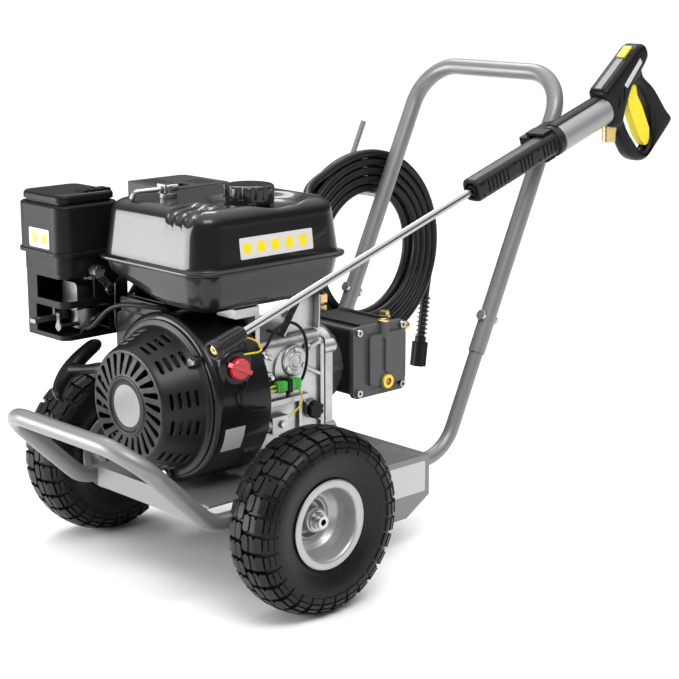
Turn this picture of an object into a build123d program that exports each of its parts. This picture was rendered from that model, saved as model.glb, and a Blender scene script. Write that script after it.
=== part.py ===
from build123d import *
from math import cos, hypot, pi, radians, sin, sqrt, tan
import os

# Petrol-engined pressure washer on a two-wheeled steel frame, in millimetres.
# X runs from the wheel axle back to the push handle, Y across the machine, Z up from the floor.

# Driving dimensions of the running gear
WHEEL_DIA = 260.0
WHEEL_WIDTH = 85.0
WHEEL_Y = 240.0
RIM_DIA = 125.0
RIM_HALF = 33.0
AXLE_R = 9.0
RUNNING_GAP = 0.05
AXLE_Z = WHEEL_DIA / 2
AXLE_END = 259.0
HUB_OUT = 5.0
TREAD_BLOCKS = 22

# Driving dimensions of the frame
PLATE_TOP = 143.0
SHEET = 3.0
PLATE_FRONT = -95.0
PLATE_REAR = 302.0
PLATE_HALF = 166.0
TUBE_Y = 150.0
HANDLE_R = 13.0
LOWER_TUBE_R = 11.0
BUMPER_R = 12.5
HANDLE_TOP_X = 616.0
HANDLE_TOP_Z = 688.0
HANDLE_LEAN = 0.4756
HANDLE_BEND = 70.0
HANDLE_FOOT_Z = 276.0
HANDLE_BOLT_Z = 327.0
BUMPER_TOP_X = -238.0
BUMPER_FOOT_X = -106.0
BUMPER_Z = 124.0
BUMPER_TOP_Z = 250.0

# Driving dimensions of the engine
CRANK_Y = -8.0
CRANK_Z = 268.0
FAN_R = 121.0
FAN_FRONT = -72.0
FAN_REAR = 22.0
RECOIL_FACE_X = -136.0
RECOIL_FACE_R = 81.0
RECOIL_BASE_R = 104.0
RECOIL_SLOTS = 24
RECOIL_SLOT_ROOT = 47.0
RECOIL_SLOT_ROOT_R = 2.2
RECOIL_SLOT_TIP = 70.0
RECOIL_SLOT_TIP_R = 4.6
RECOIL_SLOT_LEAN = 9.0
RECOIL_WINDOW_TURN = 12.5
RECOIL_WINDOW_ROWS = (15, 26, 37, 48)
RECOIL_WINDOW_LENGTH = 24.0
RECOIL_WINDOW_WIDTH = 6.0
CASE_NEAR = -95.0
CASE_FAR = 75.0
CASE_TOP = 345.0
CASE_REAR = 150.0
COVER_REAR = 172.0
CYLINDER_LEAN = 25.0
TANK_SEAM_Z = 456.0
TANK_TOP_Z = 538.0
TANK_FLOOR_Z = 397.0
TANK_X = 51.0
TANK_Y = 8.0
TANK_LENGTH = 288.0
TANK_WIDTH = 256.0
CAP_X = 70.0
CAP_Y = -30.0
CAP_R = 36.0

# Driving dimensions of the pump
PUMP_FRONT = 218.0
PUMP_REAR = 322.0
PUMP_NEAR = -84.0
PUMP_BOTTOM = 230.0
PUMP_TOP = 333.0
OUTLET_X = 300.0
OUTLET_Y = 75.0
OUTLET_Z = 352.0

# Driving dimensions of the spray lance, which lies in one upright plane on the near side
LANCE_Y = -190.0
LANCE_X = -132.0
LANCE_Z = 376.0
LANCE_TILT = 18.0
LANCE_TUBE_R = 6.0
GUN_HALF = 19.0
LOOP_HALF = 13.5

# Driving dimensions of the high-pressure hose and its coil
HOSE_R = 7.0
COIL_X = 500.0
COIL_Z = 382.0
COIL_Y = 171.5
COIL_PITCH = 14.6
COIL_OUTER_R = 166.0
COIL_START = 115.0
COIL_TURNS = 8

# The whole machine is moved so that its origin is in the middle of its length, on the floor.
MIDDLE_X = 287.96

FORWARD = (1, 0, 0)
BACKWARD = (-1, 0, 0)
FAR = (0, 1, 0)
NEAR = (0, -1, 0)
UP = (0, 0, 1)
DOWN = (0, 0, -1)
BASE = (Align.CENTER, Align.CENTER, Align.MIN)

# Lance handle and its sliding sleeve, measured along the lance
LANCE_DIR = (cos(radians(LANCE_TILT)), 0, sin(radians(LANCE_TILT)))
GRIP_FRONT = 516.0
GRIP_REAR = 701.0
GRIP_R = 19.0
SLEEVE_FRONT = 713.5
SLEEVE_REAR = 830.0
SLEEVE_R = 23.5
CORE_R = 12.0

# Engine switch
SWITCH_X = -34.0
SWITCH_Z = 325.0
SWITCH_SEAT = -125.0

# Starter rope, reel and handle
ROPE_R = 2.5
REEL_X = -108.0
REEL_R = 50.0
ROPE_FALL = 12.0
ROPE_DIR = (0, cos(radians(ROPE_FALL)), -sin(radians(ROPE_FALL)))
ROPE_EXIT = (REEL_X, CRANK_Y + REEL_R * sin(radians(ROPE_FALL)), CRANK_Z + REEL_R * cos(radians(ROPE_FALL)))
GRIP_START = 98.0
GRIP_LENGTH = 72.0
GRIP_BAR_R = 12.5
GRIP_BAR_DIR = (0.77, 0.11, 0.63)

# Air filter
FILTER_FRONT = -130.0
FILTER_REAR = -20.0
FILTER_NEAR = 147.0
FILTER_FAR = 262.0
FILTER_SEAM_Z = 452.0
FILTER_TOP_Z = 540.0
SHROUD_BOTTOM = 329.0

# Carburettor and its levers
THROTTLE_X = -50.0
THROTTLE_Z = 398.0
CARB_X = -64.0
CARB_Y = 187.0
CHOKE_SPOT = (-104.0, CARB_Y + 12, 356.0)
TAP_SPOT = (-116.0, CARB_Y - 8, 346.0)

# Routes of the thin lines on the engine
FUEL_HOSE_POINTS = [
    (-30, 110.2, 402.9),
    (-33, 123, 385),
    (-48, 143, 368),
    (-63, 163, 354),
]
STOP_CABLE_POINTS = [
    (26, -112, 338),
    (34, -120, 364),
    (58, -124, 378),
    (84, -124, 364),
    (96, -122, 338),
    (98, -119, 310),
    (96, -113, 286),
]
SENSOR_WIRE_POINTS = [(92, -107, 272), (97, -110, 262), (96, -111, 250), (88, -109, 240), (73.2, -106, 232)]

# Pump details
SIGHT_X = 278.0
SIGHT_Z = 247.0
FILLER_X = 276.0
INLET_Y = 84.0
INLET_Z = 262.0
INLET_END = 352.0

# Spray gun
GUN_OUTLINE = [
    (652, 640), (659, 622), (664, 605), (690, 605), (697, 586), (718, 556), (740, 546),
    (764, 547), (825, 603), (827, 612), (811, 624), (797, 640), (774, 664), (746, 681),
    (741, 697), (752, 714), (742, 732), (726, 732), (640, 662),
]
GUN_HEAD = [
    (652, 640), (659, 622), (664, 605), (690, 605), (697, 632), (712, 668), (741, 697), (752, 714), (742, 732),
    (726, 732), (640, 662),
]
GUN_OPENING = [
    (718, 668), (737, 668), (760, 643), (773, 624), (776, 590), (764, 562), (746, 562),
    (711, 598), (695, 626), (704, 652),
]
TRIGGER_SLOT = [
    (708, 684), (734, 684), (742, 655), (776, 606), (788, 598), (789, 574), (776, 562),
    (754, 564), (714, 640),
]
GUN_SPINE_DIR = (0.7755, 0, 0.6313)
GUN_SPINE_UP = (-0.6313, 0, 0.7755)
TRIGGER_PIVOT = (722.0, LANCE_Y, 672.0)
TRIGGER_OUTLINE = [
    (714, 679), (730, 679), (737, 652), (752, 632), (772, 597), (774, 574), (762, 570),
    (747, 584), (715, 636),
]
GUN_INLET_X = 677.0
GUN_INLET_TOP = 608.0
GUN_INLET_END = 582.0
GUN_COLLAR_R = 11.8
BUTTON_SPOT = (710.0, LANCE_Y, 718.98)

# Free end of the hose and its bend spring
FREE_END_TOP = (657.0, 187.0, 284.0)
FREE_END_FOOT = (648.0, 187.5, 208.0)
FREE_DIR = (Vector(*FREE_END_FOOT) - Vector(*FREE_END_TOP)).normalized()
SPRING_WIRE_R = 1.5
SPRING_R = 9.0
SPRING_CURLS = 9
SPRING_LENGTH = 62.0


# Small helpers for placing plain forms

def block(x0, x1, y0, y1, z0, z1, edge=0.0):
    """A box between two corners, with all its edges rounded by edge."""
    solid = Pos((x0 + x1) / 2, (y0 + y1) / 2, (z0 + z1) / 2) * Box(x1 - x0, y1 - y0, z1 - z0)
    if edge:
        solid = fillet(solid.edges(), edge)
    return solid


def rod(start, direction, radius, length):
    """A round bar from a point, along a direction."""
    return Plane(origin=start, z_dir=direction) * Cylinder(radius, length, align=BASE)


def pipe(start, direction, radius, bore, length):
    """A round bar with a bore right through it."""
    solid = rod(start, direction, radius, length)
    return solid - rod(start, direction, bore, length)


def hex_bar(start, direction, across, length):
    """A hexagonal bar from a point, along a direction."""
    plane = Plane(origin=start, z_dir=direction)
    return extrude(plane * RegularPolygon(across / 2, 6, major_radius=False), amount=length)


def side_plate(outline, y_from, y_to):
    """A plate cut to an outline of (x, z) points, standing between two values of Y."""
    wire = Polyline(*[(x, y_from, z) for x, z in outline], close=True)
    return extrude(make_face(wire), amount=y_to - y_from, dir=FAR)


def swept(path, radius, bore=0.0):
    """A tube along a path."""
    section = Circle(radius)
    if bore:
        section = section - Circle(bore)
    return sweep(Plane(origin=path @ 0, z_dir=path % 0) * section, path=path)


def turned(profile):
    """A form turned about the Y axis from (radius, y) points."""
    return revolve(make_face(Polyline(*profile, close=True)), axis=Axis.Y)


def joined(first, others):
    """One solid made of a first form and many others."""
    return first.fuse(*others)


def leg_x(z):
    """The middle of the leaning handle leg at height z."""
    return HANDLE_TOP_X - (HANDLE_TOP_Z - z) * HANDLE_LEAN


# Wheels

def make_tyre():
    """A pneumatic tyre about the Y axis, with a row of blocks along the crown and each shoulder."""
    outer_r = WHEEL_DIA / 2
    carcass_r = outer_r - 7
    half = WHEEL_WIDTH / 2
    bead_r = RIM_DIA / 2 - 10
    bead_half = RIM_HALF - 3.5
    wall = [(bead_r, bead_half), (70, bead_half), (84, half - 1.5), (100, half), (113, half - 5)]
    outside = wall + [(120, half - 14), (carcass_r, half - 26)]
    outside += [(r, -y) for r, y in reversed(outside)]
    inside = [(bead_r, bead_half - 9), (84, half - 11), (105, half - 14), (113, half - 24)]
    inside += [(r, -y) for r, y in reversed(inside)]
    tyre = turned(outside + list(reversed(inside)))
    step = 360 / TREAD_BLOCKS
    crown = make_face(Polyline((119, 13), (outer_r, 13), (outer_r, -13), (119, -13), close=True))
    shoulder = make_face(
        Polyline(
            (110, half - 16), (127, 17), (outer_r - 1, 17), (118, half - 4), (104, half), (100, half - 9),
            close=True,
        )
    )
    blocks = []
    for number in range(TREAD_BLOCKS):
        blocks.append(Rot(0, number * step, 0) * revolve(crown, axis=Axis.Y, revolution_arc=step * 0.74))
        lug = revolve(shoulder, axis=Axis.Y, revolution_arc=step * 0.70)
        blocks.append(Rot(0, (number + 0.5) * step, 0) * lug)
        blocks.append(Rot(0, number * step, 0) * mirror(lug, about=Plane.XZ))
    return joined(tyre, blocks)


def make_rim():
    """A dished steel rim about the Y axis, open towards +Y, with its hub."""
    edge_r = RIM_DIA / 2
    well_r = edge_r - 10.5
    hub_r = 17.5
    bore_r = AXLE_R + RUNNING_GAP
    half = RIM_HALF
    shell = [
        (well_r, half - 3), (edge_r, half - 3), (edge_r, half), (well_r - 3, half),
        (well_r - 5, 8), (well_r - 9, 0), (26, -17), (hub_r, -17), (hub_r, HUB_OUT), (bore_r, HUB_OUT),
        (bore_r, -half), (hub_r, -half), (hub_r, -21), (27, -21), (well_r - 7, -4), (well_r - 3, -12),
        (well_r - 3, -half), (edge_r, -half), (edge_r, 3 - half), (well_r, 3 - half),
    ]
    return turned(shell)


def placed_wheel(solid, side):
    """A wheel part on the far side (+1) or, turned round, on the near side (-1)."""
    turn = 0 if side > 0 else 180
    return Pos(0, side * WHEEL_Y, AXLE_Z) * Rot(0, 0, turn) * solid


def make_axle():
    """The through axle with its stop rings and end washers."""
    axle = rod((0, -AXLE_END, AXLE_Z), FAR, AXLE_R, 2 * AXLE_END)
    hub_in = WHEEL_Y - RIM_HALF - 0.5
    hub_out = WHEEL_Y + HUB_OUT + 0.5
    collars = []
    for side in (-1, 1):
        outward = (0, side, 0)
        collars.append(rod((0, side * (hub_in - 4), AXLE_Z), outward, 14, 4))
        collars.append(rod((0, side * hub_out, AXLE_Z), outward, 14.5, 2.5))
        collars.append(rod((0, side * (hub_out + 2), AXLE_Z), outward, 11.5, 7))
    axle = joined(axle, collars)
    for side in (-1, 1):
        axle -= rod((0, side * AXLE_END, AXLE_Z), (0, -side, 0), 4.5, 12)
    return axle


# Frame

def make_base_plate():
    """The folded steel tray that carries engine and pump, with its deep rear side skirts."""
    under = PLATE_TOP - SHEET
    tray = block(PLATE_FRONT, PLATE_REAR, -PLATE_HALF, PLATE_HALF, under, PLATE_TOP)
    nose = block(PLATE_FRONT, PLATE_FRONT + SHEET, -125, 125, PLATE_TOP - 27, under)
    lip = block(PLATE_FRONT, PLATE_FRONT + 16, -125, 125, PLATE_TOP - 30, PLATE_TOP - 27)
    skirt = [
        (PLATE_FRONT + 42, under), (PLATE_REAR, under), (PLATE_REAR, 80), (254, 52), (150, 52),
        (95, 104), (-45, 104), (PLATE_FRONT + 42, 112),
    ]
    sides = []
    for side in (-1, 1):
        edges = sorted((side * PLATE_HALF, side * (PLATE_HALF - SHEET)))
        sides.append(side_plate(skirt, edges[0], edges[1]))
        ledge = sorted((side * (PLATE_HALF - SHEET), side * (PLATE_HALF - 48)))
        sides.append(block(165, 250, ledge[0], ledge[1], 52, 52 + SHEET))
    for side in (-1, 1):
        corner = sorted((side * 132, side * (PLATE_HALF + 1)))
        tray -= block(PLATE_FRONT - 1, PLATE_FRONT + 40, corner[0], corner[1], under - 1, PLATE_TOP + 1)
    plate = joined(tray, [nose, lip] + sides)
    plate -= rod((0, -PLATE_HALF - 1, AXLE_Z), FAR, AXLE_R + RUNNING_GAP, 2 * PLATE_HALF + 2)
    return plate


def make_rear_feet():
    """Two rubber feet under the rear ledges."""
    top = 52.0
    feet = []
    for side in (-1, 1):
        foot = Pos(207, side * 141, top / 2) * Cone(18, 22, top)
        feet.append(foot)
    return feet


def make_front_bumper():
    """The bent tube that guards the front, with the two saddles that hold it under the tray."""
    near_half = [
        (-22, -TUBE_Y, BUMPER_Z),
        (BUMPER_FOOT_X, -TUBE_Y, BUMPER_Z),
        (BUMPER_TOP_X, -TUBE_Y, BUMPER_TOP_Z),
    ]
    points = near_half + [(x, -y, z) for x, y, z in reversed(near_half)]
    tube = swept(FilletPolyline(*points, radius=[50, 62, 62, 50]), BUMPER_R, BUMPER_R - 2)
    saddles = []
    for side in (-1, 1):
        y = side * TUBE_Y
        saddles.append(block(-48, -24, y - 9, y + 9, BUMPER_Z + BUMPER_R - 4, PLATE_TOP - SHEET))
    bore = [rod((-60, side * TUBE_Y, BUMPER_Z), FORWARD, BUMPER_R - 2, 40) for side in (-1, 1)]
    return joined(tube, saddles).cut(*bore)


def handle_bolt_line(side):
    """Start and direction of the bolt through one handle leg, square to the leg."""
    lean = hypot(1, HANDLE_LEAN)
    direction = (1 / lean, 0, -HANDLE_LEAN / lean)
    middle = (leg_x(HANDLE_BOLT_Z), side * TUBE_Y, HANDLE_BOLT_Z)
    return middle, direction


def along(start, direction, distance):
    """The point at a distance from start along a direction."""
    return tuple(a + distance * b for a, b in zip(start, direction))


def make_lower_tubes():
    """The two bent tubes, fixed under the tray, that the push handle slips over."""
    low_z = PLATE_TOP - SHEET - LOWER_TUBE_R
    tubes = []
    for side in (-1, 1):
        y = side * TUBE_Y
        path = FilletPolyline((205, y, low_z), (leg_x(low_z), y, low_z), (leg_x(345), y, 345), radius=[70])
        middle, direction = handle_bolt_line(side)
        hole = rod(along(middle, direction, -30), direction, 4.2, 60)
        tubes.append(swept(path, LOWER_TUBE_R, LOWER_TUBE_R - 2) - hole)
    return tubes


def make_push_handle():
    """The U-shaped handle tube with its bolt holes."""
    foot = (leg_x(HANDLE_FOOT_Z), -TUBE_Y, HANDLE_FOOT_Z)
    corner = (HANDLE_TOP_X, -TUBE_Y, HANDLE_TOP_Z)
    points = [foot, corner, (corner[0], TUBE_Y, corner[2]), (foot[0], TUBE_Y, foot[2])]
    handle = swept(FilletPolyline(*points, radius=HANDLE_BEND), HANDLE_R, LOWER_TUBE_R + 0.1)
    for side in (-1, 1):
        middle, direction = handle_bolt_line(side)
        handle -= rod(along(middle, direction, -30), direction, 4.2, 60)
    return handle


def make_hose_hook():
    """The bent rod on the far leg that the hose hangs on."""
    z = COIL_Z + 94.5
    start = (leg_x(z), TUBE_Y, z)
    elbow = (start[0], 252, z)
    tip_z = 588
    tip = (leg_x(tip_z), 252, tip_z)
    hook = swept(FilletPolyline(start, elbow, tip, radius=16), 4.5)
    leg = Plane(origin=start, z_dir=(HANDLE_LEAN, 0, 1)) * Cylinder(HANDLE_R, 120)
    return hook - leg


def lance_point(distance, lift=0.0):
    """A point on the lance, at a distance from its front end and lifted square to it."""
    c = cos(radians(LANCE_TILT))
    s = sin(radians(LANCE_TILT))
    return (LANCE_X + distance * c - lift * s, LANCE_Y, LANCE_Z + distance * s + lift * c)


def lance_slab(s0, s1, lift0, lift1, y0, y1):
    """A box lined up with the lance."""
    middle = lance_point((s0 + s1) / 2, (lift0 + lift1) / 2)
    square = (-LANCE_DIR[2], 0, LANCE_DIR[0])
    plane = Plane(origin=(middle[0], (y0 + y1) / 2, middle[2]), x_dir=LANCE_DIR, z_dir=square)
    return plane * Box(s1 - s0, y1 - y0, lift1 - lift0)


def make_lance_clip():
    """The plastic holder clamped round the near leg, with an open fork for the lance grip."""
    fork_in = GRIP_R + 0.4
    wall = 3.5
    back_y = LANCE_Y + fork_in
    front_y = LANCE_Y - 8
    s0 = 678.0
    s1 = 698.0
    fork = lance_slab(s0, s1, -fork_in - wall, fork_in + wall, front_y, back_y + 5.5)
    fork -= lance_slab(s0 - 1, s1 + 1, -fork_in, fork_in, front_y - 1, back_y)
    clamp_z = 592.0
    leg_middle = (leg_x(clamp_z), -TUBE_Y, clamp_z)
    leg_dir = (HANDLE_LEAN, 0, 1)
    plane = Plane(origin=leg_middle, z_dir=leg_dir)
    arm = lance_slab(s0, s1 + 54, -14, 14, back_y + 5, -TUBE_Y)
    clamp = plane * Cylinder(HANDLE_R + 3, 34)
    clip = joined(fork, [arm, clamp])
    return clip - plane * Cylinder(HANDLE_R, 90)


# Engine

def make_crankcase():
    """The cast case on its foot, bored for the crankshaft, with the oil level sensor block."""
    case = block(FAN_REAR, CASE_REAR, CASE_NEAR, CASE_FAR, PLATE_TOP + 4, CASE_TOP)
    case = fillet(case.edges().filter_by(Axis.X), 14)
    foot = block(FAN_REAR + 2, CASE_REAR + 12, CASE_NEAR - 18, CASE_FAR + 18, PLATE_TOP, PLATE_TOP + 13)
    boss = rod((86, CASE_NEAR, 300), NEAR, 30, 3)
    rib = block(30, 118, CASE_NEAR - 6, CASE_NEAR, 250, 258)
    sensor = block(42, 72, CASE_NEAR - 13, CASE_NEAR, 212, 236)
    filler = rod((126, CASE_NEAR, 233), NEAR, 14, 6)
    seam = block(CASE_REAR - 8, CASE_REAR, CASE_NEAR - 5, CASE_FAR + 5, 160, 336)
    seam = fillet(seam.edges().filter_by(Axis.X), 12)
    ribs = [block(FAN_REAR + 4, CASE_REAR - 4, CASE_NEAR - 4, CASE_NEAR, z, z + 5) for z in (168, 184)]
    ribs.append(block(100, 106, CASE_NEAR - 5, CASE_NEAR, 160, 250))
    case = joined(case, [foot, boss, rib, sensor, filler, seam] + ribs)
    case -= rod((FAN_REAR + 10, CRANK_Y, CRANK_Z), FORWARD, 66, CASE_REAR - FAN_REAR)
    case -= rod((FAN_REAR - 1, CRANK_Y, CRANK_Z), FORWARD, 17 + RUNNING_GAP, 20)
    case -= rod((126, CASE_NEAR - 7, 233), FAR, 8.05, 24)
    for x, y in engine_bolt_places():
        case -= rod((x, y, PLATE_TOP - 1), UP, 4.3, 30)
    return case


def engine_bolt_places():
    """The four bolts that hold the engine foot to the tray."""
    return [(x, y) for x in (FAN_REAR + 16, CASE_REAR + 2) for y in (CASE_NEAR - 9.5, CASE_FAR + 9.5)]


def make_crankcase_cover():
    """The rear side cover with its rim of screw bosses and the shaft bore."""
    cover = block(CASE_REAR, COVER_REAR, CASE_NEAR + 2, CASE_FAR - 2, PLATE_TOP + 14, CASE_TOP - 3)
    cover = fillet(cover.edges().filter_by(Axis.X), 26)
    bosses = []
    for y, z in cover_boss_places():
        bosses.append(rod((CASE_REAR, y, z), FORWARD, 10, COVER_REAR - CASE_REAR + 3))
    cover = joined(cover, bosses)
    return cover - rod((CASE_REAR - 1, CRANK_Y, CRANK_Z), FORWARD, 15 + RUNNING_GAP, 40)


def cover_boss_places():
    """Screw bosses round the rear side cover."""
    near = CASE_NEAR + 6
    far = CASE_FAR - 6
    return [(near, 195), (near, 318), (far, 195), (far, 318), (-45, CASE_TOP - 8), (30, CASE_TOP - 8)]


def cylinder_plane():
    """The slanted plane that the cylinder stands on."""
    lean = radians(CYLINDER_LEAN)
    return Plane(origin=(70, 62, 283), x_dir=FORWARD, z_dir=(0, cos(lean), sin(lean)))


def make_cylinder_head(case):
    """The finned cylinder and head, leaning up to the far side."""
    core = Pos(0, 0, 55) * Box(80, 84, 110)
    fins = [Pos(0, 0, 24 + 10.5 * number) * Box(96, 112, 3.5) for number in range(9)]
    flange = Pos(0, 0, 12) * Box(92, 92, 10)
    return cylinder_plane() * joined(core, fins + [flange]) - case


def make_valve_cover():
    """The pressed cover on the end of the head."""
    rim = Pos(0, 0, 113) * Box(84, 88, 6)
    dome = fillet((Pos(0, 0, 129) * Box(72, 76, 26)).edges().filter_by_position(Axis.Z, 140, 143), 9)
    return cylinder_plane() * (rim + dome)


def make_fan_cover():
    """The black blower housing: a drum round the flywheel, a duct to the cylinder, and the switch bulge."""
    wall = 3.0
    depth = FAN_REAR - FAN_FRONT
    axis_point = (FAN_FRONT, CRANK_Y, CRANK_Z)
    drum = rod(axis_point, FORWARD, FAN_R, depth)
    drum = fillet(drum.edges().group_by(Axis.X)[0], 9)
    duct = block(FAN_FRONT + 12, FAN_REAR, CRANK_Y, 116, 212, 374)
    duct = fillet(duct.edges().filter_by(Axis.X), 16)
    bulge = block(-62, -6, SWITCH_SEAT, -60, 296, 354)
    bulge = fillet(bulge.edges().filter_by(Axis.Y), 24)
    bulge = fillet(bulge.edges().group_by(Axis.Y)[0], 8)
    cover = joined(drum, [duct, bulge])
    cover -= rod((FAN_FRONT + wall, CRANK_Y, CRANK_Z), FORWARD, FAN_R - wall, depth - 2 * wall)
    cover -= block(FAN_FRONT + 15, FAN_REAR - wall, CRANK_Y, 113, 215, 371)
    cover -= rod((FAN_FRONT - 1, CRANK_Y, CRANK_Z), FORWARD, 100, wall + 30)
    cover -= rod((FAN_REAR - 5, CRANK_Y, CRANK_Z), FORWARD, 58, 10)
    return cover - rod((SWITCH_X, SWITCH_SEAT - 1, SWITCH_Z), FAR, 5.05, 14)


def make_engine_switch():
    """The rotary stop switch: a stem, a round body and a flag lever."""
    face = SWITCH_SEAT - 0.4
    stem = rod((SWITCH_X, SWITCH_SEAT + 11, SWITCH_Z), NEAR, 5, 12)
    body = rod((SWITCH_X, face, SWITCH_Z), NEAR, 15, 9)
    body = chamfer(body.edges().group_by(Axis.Y)[0], 2)
    flag = block(SWITCH_X - 24, SWITCH_X + 14, face - 15, face - 6, SWITCH_Z - 3, SWITCH_Z + 3)
    flag = Pos(SWITCH_X, 0, SWITCH_Z) * Rot(0, 25, 0) * Pos(-SWITCH_X, 0, -SWITCH_Z) * flag
    return joined(stem, [body, flag])


def make_recoil_housing():
    """The slotted starter housing with its rim, centre disc, pivot post and rope guide."""
    depth = FAN_FRONT - RECOIL_FACE_X
    plane = Plane(origin=(RECOIL_FACE_X, CRANK_Y, CRANK_Z), z_dir=FORWARD)
    outside = plane * Cone(RECOIL_FACE_R, RECOIL_BASE_R, depth, align=BASE)
    outside = fillet(outside.edges().group_by(Axis.X)[0], 5)
    inside = plane * Pos(0, 0, 3) * Cone(RECOIL_FACE_R - 3, RECOIL_BASE_R - 3, depth, align=BASE)
    rim = pipe((FAN_FRONT - 4, CRANK_Y, CRANK_Z), FORWARD, 112, 100, 4)
    disc = rod((RECOIL_FACE_X - 3, CRANK_Y, CRANK_Z), FORWARD, 41, 4)
    post = rod((RECOIL_FACE_X, CRANK_Y, CRANK_Z), FORWARD, 9, 40)
    guide = rod(along(ROPE_EXIT, ROPE_DIR, 66), ROPE_DIR, 9, 30)
    bosses = [rod((FAN_FRONT - 12, y, z), FORWARD, 8, 12) for y, z in recoil_bolt_places()]
    housing = joined(outside - inside, [rim, disc, post] + bosses)
    root = Pos(RECOIL_SLOT_ROOT, 0) * Circle(RECOIL_SLOT_ROOT_R)
    tip = Pos(RECOIL_SLOT_TIP, RECOIL_SLOT_LEAN) * Circle(RECOIL_SLOT_TIP_R)
    teardrop = extrude(make_hull(root.edges() + tip.edges()), amount=16)
    slots = []
    for number in range(RECOIL_SLOTS):
        angle = number * 360 / RECOIL_SLOTS
        slots.append(plane * Rot(0, 0, angle) * Pos(0, 0, -6) * teardrop)
    for number in range(6):
        for side in (-1, 1):
            angle = number * 60 + side * RECOIL_WINDOW_TURN
            for row_x in RECOIL_WINDOW_ROWS:
                window = Pos(92, 0, row_x) * Box(40, RECOIL_WINDOW_LENGTH, RECOIL_WINDOW_WIDTH)
                slots.append(plane * Rot(0, 0, angle) * window)
    housing = housing.cut(*slots)
    housing = joined(housing, [guide - inside])
    return housing - rod(along(ROPE_EXIT, ROPE_DIR, -8), ROPE_DIR, 3.2, 130)


def recoil_bolt_places():
    """Three bolts that hold the starter to the fan cover."""
    places = []
    for angle in (20, 140, 260):
        turn = radians(angle)
        places.append((CRANK_Y + 105.5 * cos(turn), CRANK_Z + 105.5 * sin(turn)))
    return places


def make_recoil_reel():
    """The grooved reel that the starter rope winds on."""
    reel = rod((REEL_X - 8, CRANK_Y, CRANK_Z), FORWARD, 64, 16)
    reel -= pipe((REEL_X - 4.5, CRANK_Y, CRANK_Z), FORWARD, 70, REEL_R - ROPE_R - 0.5, 9)
    return reel - rod((REEL_X - 20, CRANK_Y, CRANK_Z), FORWARD, 9 + RUNNING_GAP, 40)


def make_pull_grip():
    """The curved starter grip with the first length of its rope."""
    rope = rod(ROPE_EXIT, ROPE_DIR, ROPE_R, GRIP_START + 12)
    neck = rod(along(ROPE_EXIT, ROPE_DIR, GRIP_START), ROPE_DIR, 7.5, GRIP_LENGTH)
    middle = along(ROPE_EXIT, ROPE_DIR, GRIP_START + GRIP_LENGTH)
    horns = [along(along(middle, GRIP_BAR_DIR, reach), ROPE_DIR, -16) for reach in (-44, 44)]
    path = ThreePointArc(horns[0], middle, horns[1])
    bar = swept(path, GRIP_BAR_R)
    ends = [Pos(*(path @ 0)) * Sphere(GRIP_BAR_R), Pos(*(path @ 1)) * Sphere(GRIP_BAR_R)]
    return joined(bar, ends + [neck, rope])


def make_flywheel():
    """The flywheel with its ring of fan blades."""
    front = -60.0
    disc = rod((front + 14, CRANK_Y, CRANK_Z), FORWARD, 92, 20)
    hub = rod((front + 4, CRANK_Y, CRANK_Z), FORWARD, 34, 40)
    blades = []
    plane = Plane(origin=(front, CRANK_Y, CRANK_Z), z_dir=FORWARD)
    for number in range(16):
        blade = Pos(70, 0, 8) * Rot(0, 0, 24) * Box(36, 3, 16)
        blades.append(plane * Rot(0, 0, number * 22.5) * blade)
    wheel = joined(disc, [hub] + blades)
    return wheel - rod((front - 1, CRANK_Y, CRANK_Z), FORWARD, 12, 80)


def make_crankshaft():
    """The crankshaft from the flywheel nut back to the pump, with its two webs and crank pin."""
    throw = 32.0
    nose = rod((-68, CRANK_Y, CRANK_Z), FORWARD, 12, 86)
    nut = hex_bar((-68, CRANK_Y, CRANK_Z), FORWARD, 30, 11.9)
    front = rod((-15.9, CRANK_Y, CRANK_Z), FORWARD, 17, 68)
    rear = rod((108, CRANK_Y, CRANK_Z), FORWARD, 15, 146)
    pin = rod((50, CRANK_Y, CRANK_Z + throw), FORWARD, 15, 60)
    webs = []
    for x in (50, 94):
        outline = rod((x, CRANK_Y, CRANK_Z), FORWARD, 56, 16)
        webs.append(outline & block(x, x + 16, CRANK_Y - 34, CRANK_Y + 34, CRANK_Z - 60, CRANK_Z + 60))
    return joined(nose, [nut, front, rear, pin] + webs)


def rounded_slab(length, width, radius, z):
    """A rounded rectangle for the tank's lofted halves, at height z."""
    return Pos(TANK_X, TANK_Y, z) * RectangleRounded(length, width, radius)


def tank_form(inset):
    """The tank's pressed halves joined at the seam, drawn in by a wall thickness."""
    trim = 2 * inset
    seam = (TANK_LENGTH - 14 - trim, TANK_WIDTH - 14 - trim, 38 - inset)
    upper = [
        rounded_slab(seam[0], seam[1], seam[2], TANK_SEAM_Z),
        rounded_slab(seam[0] - 18, seam[1] - 24, 40 - inset, TANK_TOP_Z - 14 - inset),
        rounded_slab(seam[0] - 48, seam[1] - 54, 34 - inset, TANK_TOP_Z - inset),
    ]
    lower = [
        rounded_slab(seam[0], seam[1], seam[2], TANK_SEAM_Z),
        rounded_slab(seam[0] - 24, seam[1] - 28, 36 - inset, TANK_FLOOR_Z + 12 + inset),
        rounded_slab(seam[0] - 52, seam[1] - 56, 30 - inset, TANK_FLOOR_Z + inset),
    ]
    return loft(upper, ruled=True) + loft(lower, ruled=True)


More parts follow.
